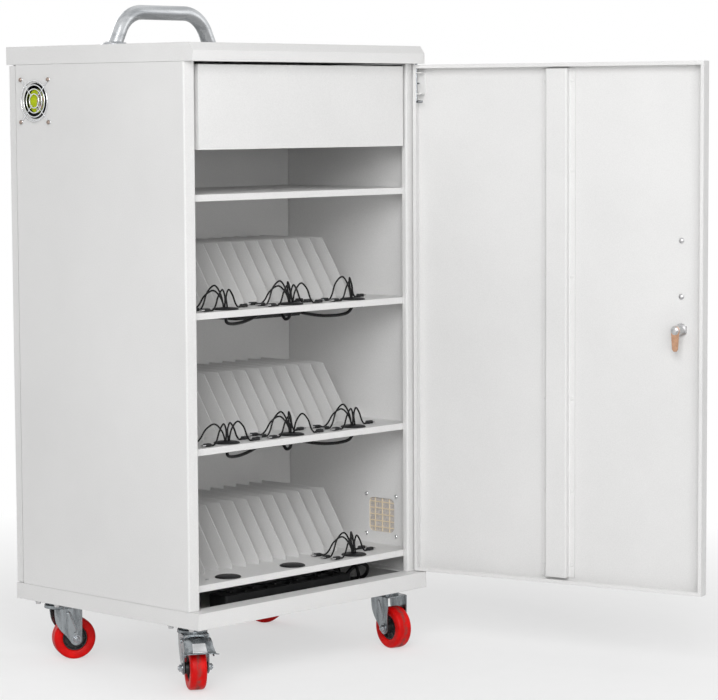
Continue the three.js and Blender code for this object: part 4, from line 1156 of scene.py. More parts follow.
    def _fork(self, swivel: Matrix) -> bpy.types.Object:
        """Make the pressed fork: a dished crown with a race skirt, two swept legs with a bead, and the axle.

        Args:
            swivel: the castor's place.

        Returns:
            The piece.
        """
        mould = Mould()
        top, out = self.crown_top, self.fork_out
        under = top - self.sheet
        outline = self._leg()
        for side in SIDES:
            mould.loft([[(side * x, y, z) for y, z in outline] for x in (self.fork_gap, out)])
            mould.loft(self._bead(side))
        mould.slab((-out, -self.trail - self.leg_round, under), (out, self.leg_front, top))
        mould.spun(lifted(self.crown, under), segments=56, closed=True)
        mould.spun(lifted(self.race, top), segments=56, closed=True)
        axle = spot(0, -self.trail, self.axle.place[2]) @ Axis.RIGHT.turn
        mould.spun(mirrored([(0, -out), (self.axle_radius, -out)]), segments=24, turn=axle)
        name = f"fork_{self.corner.value}"
        return mould.piece(name, self.finishes.zinc, name, Slot.ZINC, bevel=0.7, at=swivel)

    def _axle_nuts(self, hub: Matrix) -> None:
        """Make the axle's washers, nuts and bolt ends on the fork.

        Args:
            hub: the wheel's place.
        """
        mould = Mould()
        for side, axis in zip((1, -1), (Axis.RIGHT, Axis.LEFT)):
            turn = spot(side * self.fork_out, 0, 0) @ axis.turn
            mould.spun(self.washer, segments=32, turn=turn, closed=True)
            mould.spun(self.nut, segments=6, turn=turn)
            mould.spun(self.bolt_end, segments=20, turn=turn)
        name = self.corner.value
        mould.piece(f"axle_nuts_{name}", self.finishes.nut, f"fork_{name}", Slot.ZINC, bevel=0.3, at=hub)

    def _plate_bolts(self, at: Matrix) -> None:
        """Make the bolts under the castor's plate.

        Args:
            at: the plate's place.
        """
        mould = Mould()
        reach = self.plate_bolt_reach
        for sx in SIDES:
            for sy in SIDES:
                self.plate_bolt.hex(mould, spot(sx * reach, sy * reach, self.plate_under) @ Axis.DOWN.turn)
        name = f"plate_bolts_{self.corner.value}"
        mould.piece(name, self.finishes.steel, "cart", Slot.ZINC, bevel=0.3, at=at)


@dataclass
class BrakePedal(Fitting):
    """The brake pedal, in millimetres: a tread that flares to its tip, a pad whose brightness is a painted
    highlight, wings, cheeks and a pin.

    The line and the cheek are (along, up) from the tread's near end, and the pad's section is (share of
    the half width, rise).
    """

    swivel: Matrix
    near: float = -43.0
    line: Profile = ((4.0, 9.0), (-10.0, 7.0), (-24.0, -5.0), (-36.0, -14.0), (-40.0, -14.5))
    half: float = 24.5
    flare: float = 9.0
    flare_power: float = 2.2
    half_sheet: float = 1.0
    wing: float = 6.0
    wing_from: float = 0.46
    wing_fade: float = 0.5
    steps: int = 12
    pad_span: Pair = (0.4, 0.8)
    pad_section: Profile = ((-0.46, 1.1), (-0.43, 2.2), (0.43, 2.2), (0.46, 1.1))
    cheek: Profile = ((17, -6), (17, 5), (2, 5), (-12, 2), (-27, -12), (-33, -21), (-28, -22))
    cheek_faces: Pair = (24.1, 26.1)
    pin: Profile = ((0, -28.0), (3.6, -28.0), (3.6, -26.0), (2.5, -26.0))
    edge_round: float = 0.4

    def build(self) -> bpy.types.Object:
        """Make the pad, and the tread with its cheeks and pin.

        Returns:
            The tread's piece.
        """
        hinge = self.swivel.inverted() @ Vector(Joint.of("brake_pedal_press").place)
        pivot, level = round(hinge.y, 2), round(hinge.z, 2)
        line = smooth_route([(0, self.near + y, level + z) for y, z in self.line])
        sections: list[list[Vector]] = []
        pad: list[list[Vector]] = []
        for i, here in enumerate(line):
            ahead = (line[min(i + 1, len(line) - 1)] - line[max(i - 1, 0)]).normalized()
            up = Vector((0, ahead.z, -ahead.y))
            share = i / (len(line) - 1)
            half = self.half + self.flare * share ** self.flare_power
            sections.append(self._across(here, up, half, share))
            if self.pad_span[0] < share < self.pad_span[1]:
                pad.append([here + Vector((half * u, 0, 0)) + up * v for u, v in self.pad_section])
        body, edge = "brake_pedal", self.edge_round
        # The pad's pale steel is a painted highlight on the tread's flat top.
        rubbed = Mould().loft(pad)
        rubbed.piece("pedal_pad", self.finishes.rubbed, body, Slot.ZINC, bevel=edge, at=self.swivel)
        mould = Mould().loft(sections)
        cheek = [(self.near + y, level + z) for y, z in self.cheek]
        for side in SIDES:
            mould.loft([[(side * x, y, z) for y, z in cheek] for x in self.cheek_faces])
        mould.spun(mirrored(self.pin), segments=24, turn=spot(0, pivot, level) @ Axis.RIGHT.turn)
        return mould.piece("pedal_tread", self.finishes.zinc, body, Slot.ZINC, bevel=edge, at=self.swivel)

    def _across(self, here: Vector, up: Vector, half: float, share: float) -> list[Vector]:
        """Draw one section across the tread, with the wings bent down.

        Args:
            here: the section's middle.
            up: the tread's upward direction there.
            half: half its width.
            share: how far along the tread it is.

        Returns:
            The section's loop.
        """
        upper, lower = [], []
        for k in range(2 * self.steps + 1):
            u = k / self.steps - 1
            wing = self.wing * max(0.0, abs(u) - self.wing_from) * (1 - self.wing_fade * share)
            across = Vector((half * u, 0, 0))
            upper.append(here + across + up * (self.half_sheet - wing))
            lower.append(here + across + up * (-self.half_sheet - wing))
        return upper + lower[::-1]


@dataclass
class PushHandle(Fitting):
    """The hoop of round tube on the top with its foot flanges, in millimetres.

    The foot's rim is given inwards from its edge, and the collar outwards from the tube.
    """

    rise: float = 66.7
    lean: float = 25.0
    bend: float = 62.0
    bend_steps: int = 14
    leg_gap: float = 1.0
    radius: float = 14.0
    foot: float = 25.0
    foot_rim: Profile = ((0.0, 0.0), (0.0, 5.6), (1.0, 7.2), (3.0, 8.0))
    collar: Profile = ((5.0, 8.6), (2.2, 10.2), (0.0, 10.4))
    screw: Fastener = Fastener(5.0, 1.6)
    screws: int = 3
    screw_inset: float = 4.0
    screw_seat: float = 7.8

    @property
    def feet(self) -> tuple[Point, Point]:
        """Find the feet.

        Returns:
            The places of the left and the right foot.
        """
        box = NodeBox.of("push_handle")
        half = box.high[0] - self.foot
        return tuple((side * half, box.middle[1], box.low[2]) for side in SIDES)

    def build(self) -> None:
        """Make the tube with its feet, and the foot screws."""
        profile = [(0, 0), *((self.foot - inset, z) for inset, z in self.foot_rim)]
        profile += [*((self.radius + out, z) for out, z in self.collar), (0, self.collar[-1][1])]
        mould = Mould().tube(self._line(), self.radius, sides=36)
        screws = Mould()
        for foot in self.feet:
            mould.spun(profile, segments=48, turn=spot(*foot))
            for k in range(self.screws):
                seat = spot(self.foot - self.screw_inset, 0, self.screw_seat)
                self.screw.pan(screws, spot(*foot) @ spin(90 + 360 / self.screws * k) @ seat)
        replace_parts(mould.piece("handle_hoop", self.finishes.satin, "cart", Slot.CHROME), "push_handle")
        screws.piece("handle_foot_screws", self.finishes.steel, "cart", Slot.CHROME)

    def _line(self) -> list[Point]:
        """Draw the centre line: up a leaning leg, round a bend, across, and down again.

        Returns:
            Its points from right to left.
        """
        half, y, top = self.feet[1]
        lean = math.radians(self.lean)
        sweep = math.pi / 2 - lean
        corner = half - self.rise * math.tan(lean)
        tangent = self.bend * math.tan(sweep / 2)
        x0, z0 = corner - tangent, top + self.rise - self.bend
        right = [(half, y, top + self.leg_gap)]
        for i in range(self.bend_steps + 1):
            angle = lean + sweep * i / self.bend_steps
            right.append((x0 + self.bend * math.cos(angle), y, z0 + self.bend * math.sin(angle)))
        return right + [(-x, y, z) for x, y, z in reversed(right)]


@dataclass
class Fan(Fitting):
    """The axial fan's rotor, hub label, wire guard and screws, in millimetres.

    The hub's edge is (in from its radius, depth), and an arm's places are out from the axis.
    """

    hub: float = 23.0
    hub_edge: Profile = ((2.0, 0.0), (0.6, 0.6), (0.0, 2.0))
    shaft: float = 2.0
    shaft_sunk: float = 1.0
    shaft_out: float = 2.5
    tip: float = 38.2
    depth: float = 19.5
    label: Profile = ((0, 0.05), (21.6, 0.05), (21.6, 0.25), (0, 0.25))
    blades: int = 7
    blade_steps: int = 6
    blade_sunk: float = 2.0
    root_pitch: float = 46.0
    twist: float = 20.0
    root_chord: float = 16.0
    chord_gain: float = 4.0
    camber: float = 1.6
    edge_half: float = 0.3
    belly_half: float = 0.5
    wire: float = 1.1
    wire_sides: int = 10
    wire_gap: float = 0.3
    ring_seat: float = 1.6
    rings: tuple[float, ...] = (13.0, 22.0, 29.5, 37.0)
    ring_points: int = 72
    arm: Pair = (11.0, 39.0)
    eye_gap: float = 4.0
    eye: float = 3.2
    eye_points: int = 24
    holes: float = 78.0
    screw: Fastener = Fastener(8.0, 3.0)

    @property
    def wall(self) -> float:
        """The side panel's outer face."""
        return NodeBox.of("left_side_panel").low[0]

    @property
    def middle(self) -> Pair:
        """The fan's axis, in Y and Z."""
        return NodeBox.of("fan_frame").middle[1:]

    def build(self) -> None:
        """Make the rotor, its label, the guard and its screws."""
        rotor_at = spot(NodeBox.of("fan_rotor").low[0], *self.middle)
        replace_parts(self._rotor(rotor_at), "fan_rotor")
        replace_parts(self._guard(), "fan_guard")
        label = Mould().spun(self.label, segments=48, turn=Axis.LEFT.turn)
        label.piece("fan_hub_label", self.finishes.label, "fan_rotor", Slot.BLACK, at=rotor_at)
        screws = Mould()
        x, half = self.wall - self.wire_gap - 2 * self.wire, self.holes / 2
        y, z = self.middle
        for sy in SIDES:
            for sz in SIDES:
                self.screw.pan(screws, spot(x, y + sy * half, z + sz * half) @ Axis.LEFT.turn)
        screws.piece("fan_screws", self.finishes.bronze, "cart", Slot.CHROME)

    def _rotor(self, at: Matrix) -> bpy.types.Object:
        """Make the hub with its shaft and its twisted, cambered blades.

        Args:
            at: the rotor's place.

        Returns:
            The piece.
        """
        mould = Mould()
        face = [(self.hub - inset, z) for inset, z in self.hub_edge]
        drum = [(0, 0), *face, (self.hub, self.depth), (0, self.depth)]
        mould.spun(drum, segments=56, turn=Axis.RIGHT.turn)
        low, high = self.depth - self.shaft_sunk, self.depth + self.shaft_out
        shaft = [(0, low), (self.shaft, low), (self.shaft, high), (0, high)]
        mould.spun(shaft, segments=16, turn=Axis.RIGHT.turn)
        for angle in turns(self.blades):
            mould.loft(self._blade(), Matrix.Rotation(angle, 4, "X"))
        return mould.piece("fan_blades", self.finishes.black, "fan_rotor", Slot.BLACK, at=at)

    def _blade(self) -> list[list[Point]]:
        """Shape one blade.

        Returns:
            Its sections from the hub to the tip.
        """
        root = self.hub - self.blade_sunk
        sections = []
        for i in range(self.blade_steps + 1):
            share = i / self.blade_steps
            radius = root + (self.tip - root) * share
            pitch = math.radians(self.root_pitch - self.twist * share)
            chord = self.root_chord + self.chord_gain * share
            upper, lower = [], []
            for k in range(self.blade_steps + 1):
                c = k / self.blade_steps - 0.5
                bow = 1 - 4 * c * c
                thick = self.edge_half + self.belly_half * bow
                for side, row in ((thick, upper), (-thick, lower)):
                    height = self.camber * bow + side
                    axial = c * chord * math.sin(pitch) + height * math.cos(pitch)
                    around = c * chord * math.cos(pitch) - height * math.sin(pitch)
                    row.append((self.depth / 2 + axial, around, math.sqrt(radius * radius - around * around)))
            sections.append(upper + lower[::-1])
        return sections

    def _guard(self) -> bpy.types.Object:
        """Make the guard: round wires on four arms that end in screw eyes.

        Returns:
            The piece.
        """
        near = self.wall - self.wire_gap - self.wire
        far = near - self.ring_seat * self.wire
        y, z = self.middle
        mould = Mould()
        for radius in self.rings:
            angles = turns(self.ring_points)
            ring = [(far, y + radius * math.cos(a), z + radius * math.sin(a)) for a in angles]
            mould.tube(ring, self.wire, self.wire_sides, loop=True)
        root = Vector((near, y, z))
        corner = self.holes / math.sqrt(2)
        for quarter in turns(4):
            angle = math.pi / 4 + quarter
            out = Vector((0, math.cos(angle), math.sin(angle)))
            side = Vector((0, -math.sin(angle), math.cos(angle)))
            arm = [root + out * reach for reach in (*self.arm, corner - self.eye_gap)]
            mould.tube(arm, self.wire, self.wire_sides)
            eye = [
                root + out * (corner + self.eye * math.cos(a)) + side * self.eye * math.sin(a)
                for a in turns(self.eye_points)
            ]
            mould.tube(eye, self.wire, self.wire_sides, loop=True)
        return mould.piece("fan_guard_wires", self.finishes.chrome, "cart", Slot.CHROME)


@dataclass
class Grommet(Fitting):
    """A flanged cable grommet with a domed cover, in millimetres from its shelf's top."""

    level: Level
    place: Place
    slotted: bool
    flange: Profile = (
        (17.0, -14.0), (19.6, -14.0), (19.6, 0.3), (23.6, 0.3), (24.0, 0.7), (23.7, 1.5), (22.4, 2.6),
        (19.4, 3.3), (18.8, 3.0), (18.2, 2.4), (17.0, 2.2),
    )
    segments: int = 56
    cover: float = 18.0
    cover_top: float = 3.9
    cover_edge: float = 2.7
    cover_under: float = 1.6
    dome_share: float = 0.7
    slot: Pair = (14.0, 11.0)
    pinhole: float = 0.5

    @property
    def name(self) -> str:
        """The grommet's words in node names."""
        return f"{self.level.word}_{self.place.value}"

    @property
    def at(self) -> Point:
        """The middle of the grommet's hole in the shelf's top."""
        x, y, _ = NodeBox.of(f"grommet_{self.name}").middle
        return (x, y, self.level.value)

    def build(self) -> None:
        """Make the flange, sleeve and cover, with its slot where leads come out."""
        mould = Mould().spun(self.flange, self.segments, closed=True)
        mould.belt(self._cover())
        made = mould.piece(
            f"grommet_body_{self.name}", self.finishes.black, "cart", Slot.BLACK, at=spot(*self.at)
        )
        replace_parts(made, f"grommet_{self.name}")

    def _cover(self) -> list[list[Point]]:
        """Shape a lightly domed disc, cut through by the slot or by a pinhole.

        Returns:
            Its loops, from the upper edge to the hole and back underneath.
        """
        outer = [(self.cover * math.cos(a), self.cover * math.sin(a)) for a in turns(self.segments)]
        inner = [self._hole(a) for a in turns(self.segments)]
        dome = []
        for (x, y), (a, b) in zip(inner, outer):
            keep = 1 - self.dome_share
            dome.append((x * keep + a * self.dome_share, y * keep + b * self.dome_share))
        upper = ((outer, self.cover_edge), (dome, self.cover_top), (inner, self.cover_top))
        lower = ((inner, self.cover_under), (dome, self.cover_under), (outer, self.cover_under))
        return [[(x, y, z) for x, y in loop] for loop, z in (*upper, *lower)]

    def _hole(self, angle: float) -> Pair:
        """Find the hole's edge in one direction.

        Args:
            angle: the direction.

        Returns:
            The place on the edge.
        """
        c, s = math.cos(angle), math.sin(angle)
        reach = self.pinhole
        if self.slotted:
            reach = min(width / 2 / max(abs(part), TINY) for width, part in zip(self.slot, (c, s)))
        return (reach * c, reach * s)


@dataclass(frozen=True)
class Cord:
    """One cord along points, in millimetres."""

    name: str
    line: Sequence[Vector]
    diameter: float
    far_end: FarEnd
    bevel_steps: int = 4

    @property
    def length(self) -> float:
        """The cord's length in metres."""
        return sum((b - a).length for a, b in zip(self.line, self.line[1:])) * MM

    def lay(
        self, finish: bpy.types.Material
    ) -> bpy.types.Object:
        """Args:
            finish: its jacket's material.

        Returns:
            The curve object.
        """
        data = bpy.data.curves.new(self.name, "CURVE")
        data.dimensions = "3D"
        data.bevel_depth = self.diameter / 2 * MM
        data.bevel_resolution = self.bevel_steps
        data.use_fill_caps = True
        strand = data.splines.new("POLY")
        strand.points.add(len(self.line) - 1)
        for knot, p in zip(strand.points, self.line):
            knot.co = (*(p * MM), 1)
        strand.use_smooth = True
        data.materials.append(finish)
        made = bpy.data.objects.new(self.name, data)
        bpy.context.scene.collection.objects.link(made)
        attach(made, "cart")
        tuple(self.line[0] * MM)
        round(self.length, 4)
        self.diameter * MM
        LOG.info("cord %s, %.0f mm", self.name, self.length / MM)
        return made


class LeadRun(Enum):
    """The ways a lead leaves its grommet, as points from the grommet's middle to the plug, in millimetres."""

    LEFT_FRONT = (
        (-4, -2.6, 6), (-6, -5, 24), (-16, -9, 37), (-29, -12, 26), (-38, -13, 8), (-45, -13.5, 1.9),
        (-56, -14, 1.9),
    )
    LEFT_MIDDLE = (
        (-4.6, 0.6, 6), (-7, 5, 28), (-18, 9, 44), (-33, 12, 33), (-43, 13, 10), (-50, 13, 1.9),
        (-58, 12, 1.9),
    )
    LEFT_REAR = (
        (-1.7, 3.2, 6), (-3, 10, 22), (-11, 20, 34), (-24, 29, 25), (-34, 34, 8), (-42, 36, 1.9),
        (-53, 38, 1.9),
    )
    RIGHT_FRONT = (
        (4, -2.6, 6), (7, -6, 26), (18, -10, 39), (31, -12, 28), (40, -13, 8), (47, -13, 1.9), (57, -12, 1.9),
    )
    RIGHT_MIDDLE = (
        (4.6, 0.6, 6), (6, 4, 23), (16, 8, 35), (28, 11, 25), (37, 12, 8), (44, 13, 1.9), (54, 14, 1.9),
    )
    RIGHT_REAR = (
        (1.8, 3.2, 6), (4, 11, 26), (14, 21, 40), (28, 30, 30), (38, 35, 9), (45, 37, 1.9), (56, 38, 1.9),
    )


LEAD_SETS: dict[tuple[Level, Place], tuple[LeadRun, ...]] = {
    (Level.UPPER, Place.LEFT): (
        LeadRun.LEFT_FRONT, LeadRun.LEFT_MIDDLE, LeadRun.LEFT_REAR, LeadRun.RIGHT_MIDDLE,
    ),
    (Level.UPPER, Place.CENTRE): tuple(LeadRun),
    (Level.UPPER, Place.RIGHT): (LeadRun.LEFT_FRONT, LeadRun.LEFT_MIDDLE, LeadRun.RIGHT_REAR),
    (Level.MIDDLE, Place.LEFT): (
        LeadRun.LEFT_FRONT, LeadRun.LEFT_REAR, LeadRun.RIGHT_FRONT, LeadRun.RIGHT_MIDDLE,
    ),
    (Level.MIDDLE, Place.CENTRE): (
        LeadRun.LEFT_FRONT, LeadRun.LEFT_MIDDLE, LeadRun.LEFT_REAR, LeadRun.RIGHT_FRONT, LeadRun.RIGHT_REAR,
    ),
    (Level.MIDDLE, Place.RIGHT): (
        LeadRun.LEFT_FRONT, LeadRun.LEFT_MIDDLE, LeadRun.LEFT_REAR, LeadRun.RIGHT_MIDDLE,
    ),
    (Level.LOWER, Place.RIGHT): (
        LeadRun.LEFT_FRONT, LeadRun.LEFT_MIDDLE, LeadRun.LEFT_REAR, LeadRun.RIGHT_MIDDLE, LeadRun.RIGHT_REAR,
    ),
}


@dataclass
class LeadPlug(Fitting):
    """A flat plug that lies on its shelf, in millimetres: strain relief, rounded grip and metal tip.

    The relief is given as (along, width, rise), the grip as (along, share of width, share of height) and
    the tip's end as (back from the end, share of its size).
    """

    length: float = 20.0
    width: float = 9.0
    height: float = 6.0
    shelf_gap: float = 0.3
    relief: tuple[Point, ...] = ((-7, 3.5, 0), (-5, 4.1, 0.2), (-3, 4.6, 0.5))
    relief_end: float = 5.0
    relief_rise: float = 0.6
    relief_round: float = 2.02
    grip: tuple[Point, ...] = (
        (-1.5, 0.7, 0.66), (-0.6, 0.93, 0.92), (0.6, 1, 1), (4, 1, 1), (6, 0.94, 0.97), (9, 0.94, 0.97),
    )
    grip_corner: float = 1.6
    grip_end: tuple[Point, ...] = ((-0.8, 1, 1), (0, 0.94, 0.93))
    tip: float = 7.5
    tip_size: Pair = (7.0, 2.5)
    tip_sunk: float = 1.0
    tip_end: Profile = ((0.4, 1), (0, 0.92))
    tip_corner: float = 0.5
    metal_from: float = 0.1
    corner_steps: int = 3

    def _oblong(self, x: float, size: Pair, z: float, corner: float) -> list[Point]:
        """Draw a rounded oblong across the plug.

        Args:
            x: its place along the plug.
            size: its width and height.
            z: its middle's height.
            corner: its corners' radius.

        Returns:
            Its loop.
        """
        wide, high = size[0] / 2 - corner, size[1] / 2 - corner
        ring = []
        for quarter, (cy, cz) in enumerate(((1, 1), (-1, 1), (-1, -1), (1, -1))):
            for k in range(self.corner_steps + 1):
                turn = math.pi / 2 * (quarter + k / self.corner_steps)
                ring.append((x, cy * wide + corner * math.cos(turn), z + cz * high + corner * math.sin(turn)))
        return ring

    def build(self, name: str, at: Vector, run: LeadRun) -> bpy.types.Object:
        """Make the plug at the end of a lead.

        Args:
            name: the piece's name.
            at: the grommet's place.
            run: the lead's way.

        Returns:
            The piece.
        """
        (x0, y0, _), (x1, y1, z1) = run.value[-2:]
        middle = self.shelf_gap + self.height / 2 - z1
        grip_to = self.length - self.tip
        relief = [*self.relief, (0, self.relief_end, middle * self.relief_rise)]
        grip = [*self.grip, *((grip_to + x, wide, high) for x, wide, high in self.grip_end)]
        tip = [(grip_to - self.tip_sunk, 1), *((self.length - back, share) for back, share in self.tip_end)]
        mould = Mould()
        mould.loft([self._oblong(x, (d, d), z, d / self.relief_round) for x, d, z in relief])
        grips = [(x, (self.width * wide, self.height * high)) for x, wide, high in grip]
        mould.loft([self._oblong(x, size, middle, self.grip_corner) for x, size in grips])
        tips = [(x, (self.tip_size[0] * share, self.tip_size[1] * share)) for x, share in tip]
        mould.loft([self._oblong(x, size, middle, self.tip_corner) for x, size in tips])
        place = spot(*(at + Vector((x1, y1, z1)))) @ spin(math.degrees(math.atan2(y1 - y0, x1 - x0)))
        made = mould.piece(name, self.finishes.black, "cart", Slot.JACKET, at=place)
        made.data.materials.append(self.finishes.steel)
        for face in made.data.polygons:
            face.material_index = int(face.center.x > (grip_to + self.metal_from) * MM)
        return made


@dataclass
class LeadBundle(Fitting):
    """The charging leads of one grommet and the trunk that feeds them, in millimetres."""

    grommet: Grommet
    runs: tuple[LeadRun, ...]
    lead: float = 3.2
    trunk: float = 6.0
    lead_root: float = -6.0
    trunk_root: float = -13.0
    port: float = 36.0
    middle_port: float = 12.0
    port_drop: float = -14.5
    outlet_drop: float = -56.5
    touch: float = 0.3

    def build(self) -> None:
        """Make every lead with its plug, and the trunk."""
        base = self.grommet.name
        at = Vector(self.grommet.at)
        jacket = self.finishes.jacket
        line = [at + p for p in smooth_route(self._trunk())]
        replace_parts(Cord(f"trunk_{base}", line, self.trunk, FarEnd.OBJECT).lay(jacket), f"leads_{base}")
        for number, run in enumerate(self.runs, 1):
            x, y, _ = run.value[0]
            line = [at + p for p in smooth_route([(x, y, self.lead_root), *run.value])]
            plug = LeadPlug(self.finishes).build(f"plug_{base}_{number}", at, run)
            Cord(f"lead_{base}_{number}", line, self.lead, FarEnd.PLUG).lay(jacket)

    def _trunk(self) -> list[Point]:
        """Choose the trunk's points below the grommet, to the charger or to the strip in the base.

        Returns:
            The points from the grommet's middle.
        """
        x, y, _ = self.grommet.at
        start = (0, 0, self.trunk_root)
        if self.grommet.level is Level.LOWER:
            end, z = NodeBox.of("power_strip").high[0] - x, self.outlet_drop
            return [
                start, (end + 12, 2, -28), (end + 24, 12, -50.5), (end + 20, 30, z), (end + 10, 30, z),
                (end + self.touch, 30, z),
            ]
        front, z = NodeBox.of(f"usb_charger_{self.grommet.level.word}").low[1] - y, self.port_drop
        aim = math.copysign(self.port, x) - x if x else self.middle_port
        return [
            start, (aim * 0.06, 5, -24), (aim * 0.45, 20, -28), (aim, front - 16, z), (aim, front - 8, z),
            (aim, front - self.touch, z),
        ]


@dataclass
class SupplyCord(Fitting):
    """The strip's cord: two loops beside the strip, then back along the base to the inlet, in millimetres."""

    diameter: float = 7.0
    route: tuple[Point, ...] = (
        (165.3, -146, 24), (180.8, -146, 24), (200.1, -150, 39), (222.4, -152, 45), (246.5, -146, 33),
        (257.2, -125, 12), (240.7, -100, 6), (214.6, -98, 10), (196.2, -112, 28), (190.4, -100, 44),
        (204.9, -84, 46), (232.0, -78, 30), (254.3, -60, 9), (262, -20, 7), (262, 90, 7),
        (262, 140, 10), (258, 168, 40), (260, 174, 78), (270, 174, 90), (279, 174, 90),
    )
    steps: int = 8

    def build(self) -> None:
        """Make the cord."""
        cord = Cord("supply_cord", smooth_route(self.route, self.steps), self.diameter, FarEnd.OBJECT)
        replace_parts(cord.lay(self.finishes.jacket), "strip_supply_cord")


@dataclass
class FrontDoorFittings(Fitting):
    """Pieces on the front door, in millimetres from its pivot as if the door were shut."""

    middle_u: float = -294.0
    skin_out: float = -16.0
    skin_in: float = -14.8
    cam_face: float = 13.6
    cam_nut: Fastener = Fastener(11.4, 4.4)
    handle_half: float = 51.0
    standoff: float = 30.0
    knee_share: float = 0.55
    bow_share: float = 0.62
    bow_steps: int = 10
    rod: float = 5.0
    handle_gap: float = 0.3
    collar: Profile = ((0, 0), (7.2, 0), (7.2, 1.2), (6.4, 2.2), (0, 2.2))
    screw: Profile = ((0, 0), (5.4, 0), (5.4, 0.8), (3.9, 0.9), (3.7, 2.6), (2.6, 3.6), (1.2, 3.9), (0, 3.6))
    weld: Profile = ((0, -0.05), (3.6, -0.05), (3.3, 0.5), (2.3, 1.0), (1.2, 0.8), (0, 0.7))
    weld_heights: tuple[float, ...] = (968, 802, 606, 378, 205, 66)
    weld_reach: float = 27.5
    weld_seat: float = -13.5

    @property
    def opening(self) -> Matrix:
        """The door's place in the rest pose, from its own place when it is shut."""
        hinge = Joint.of("front_door_swing")
        return spot(*hinge.place[:2], 0) @ spin(-hinge.limits[0])

    @property
    def lock(self) -> Pair:
        """The lock's place along the shut door, and its height."""
        place = Joint.of("lock_cam_turn").place
        return round((self.opening.inverted() @ Vector(place)).x, 2), place[2]

    def build(self) -> None:
        """Make the handle bow, its screws, the cam's nut and the stiffener's weld marks."""
        lock_u, lock_z = self.lock
        handle = self.opening @ spot(lock_u, 0, NodeBox.of("door_handle").middle[2])
        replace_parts(self._bow(handle), "door_handle")
        screws = Mould()
        for side in SIDES:
            seat = spot(0, self.skin_in, side * self.handle_half)
            screws.spun(self.screw, segments=24, turn=seat @ Axis.BACK.turn)
        screws.piece("handle_screws", self.finishes.steel, "front_door", Slot.CHROME, at=handle)
        nut = Mould()
        self.cam_nut.hex(nut, Axis.BACK.turn)
        at = self.opening @ spot(lock_u, self.cam_face, lock_z)
        nut.piece("cam_nut", self.finishes.steel, "lock_cam", Slot.CHROME, at=at)
        welds = Mould()
        for z in self.weld_heights:
            for side in SIDES:
                seat = spot(side * self.weld_reach, self.weld_seat, z)
                welds.spun(self.weld, segments=20, turn=seat @ Axis.BACK.turn)
        at = self.opening @ spot(self.middle_u, 0, 0)
        welds.piece("weld_marks", self.finishes.coat, "front_door", Slot.COAT, at=at)

    def _bow(self, at: Matrix) -> bpy.types.Object:
        """Make the outside pull: a round bow on two collars.

        Args:
            at: the pull's place.

        Returns:
            The piece.
        """
        base = self.skin_out - self.handle_gap
        out = self.skin_out - self.standoff
        knee = base - self.standoff * self.knee_share
        half, bow = self.handle_half, self.handle_half * self.bow_share
        lower = [(0, base, -half), (0, knee, -half), (0, out, -bow)]
        upper = [(x, y, -z) for x, y, z in reversed(lower)]
        mould = Mould().tube(smooth_route(lower + upper, self.bow_steps), self.rod, sides=24)
        for side in SIDES:
            mould.spun(self.collar, segments=32, turn=spot(0, base, side * half) @ Axis.FRONT.turn)
        return mould.piece("handle_bow", self.finishes.chrome, "front_door", Slot.CHROME, at=at)


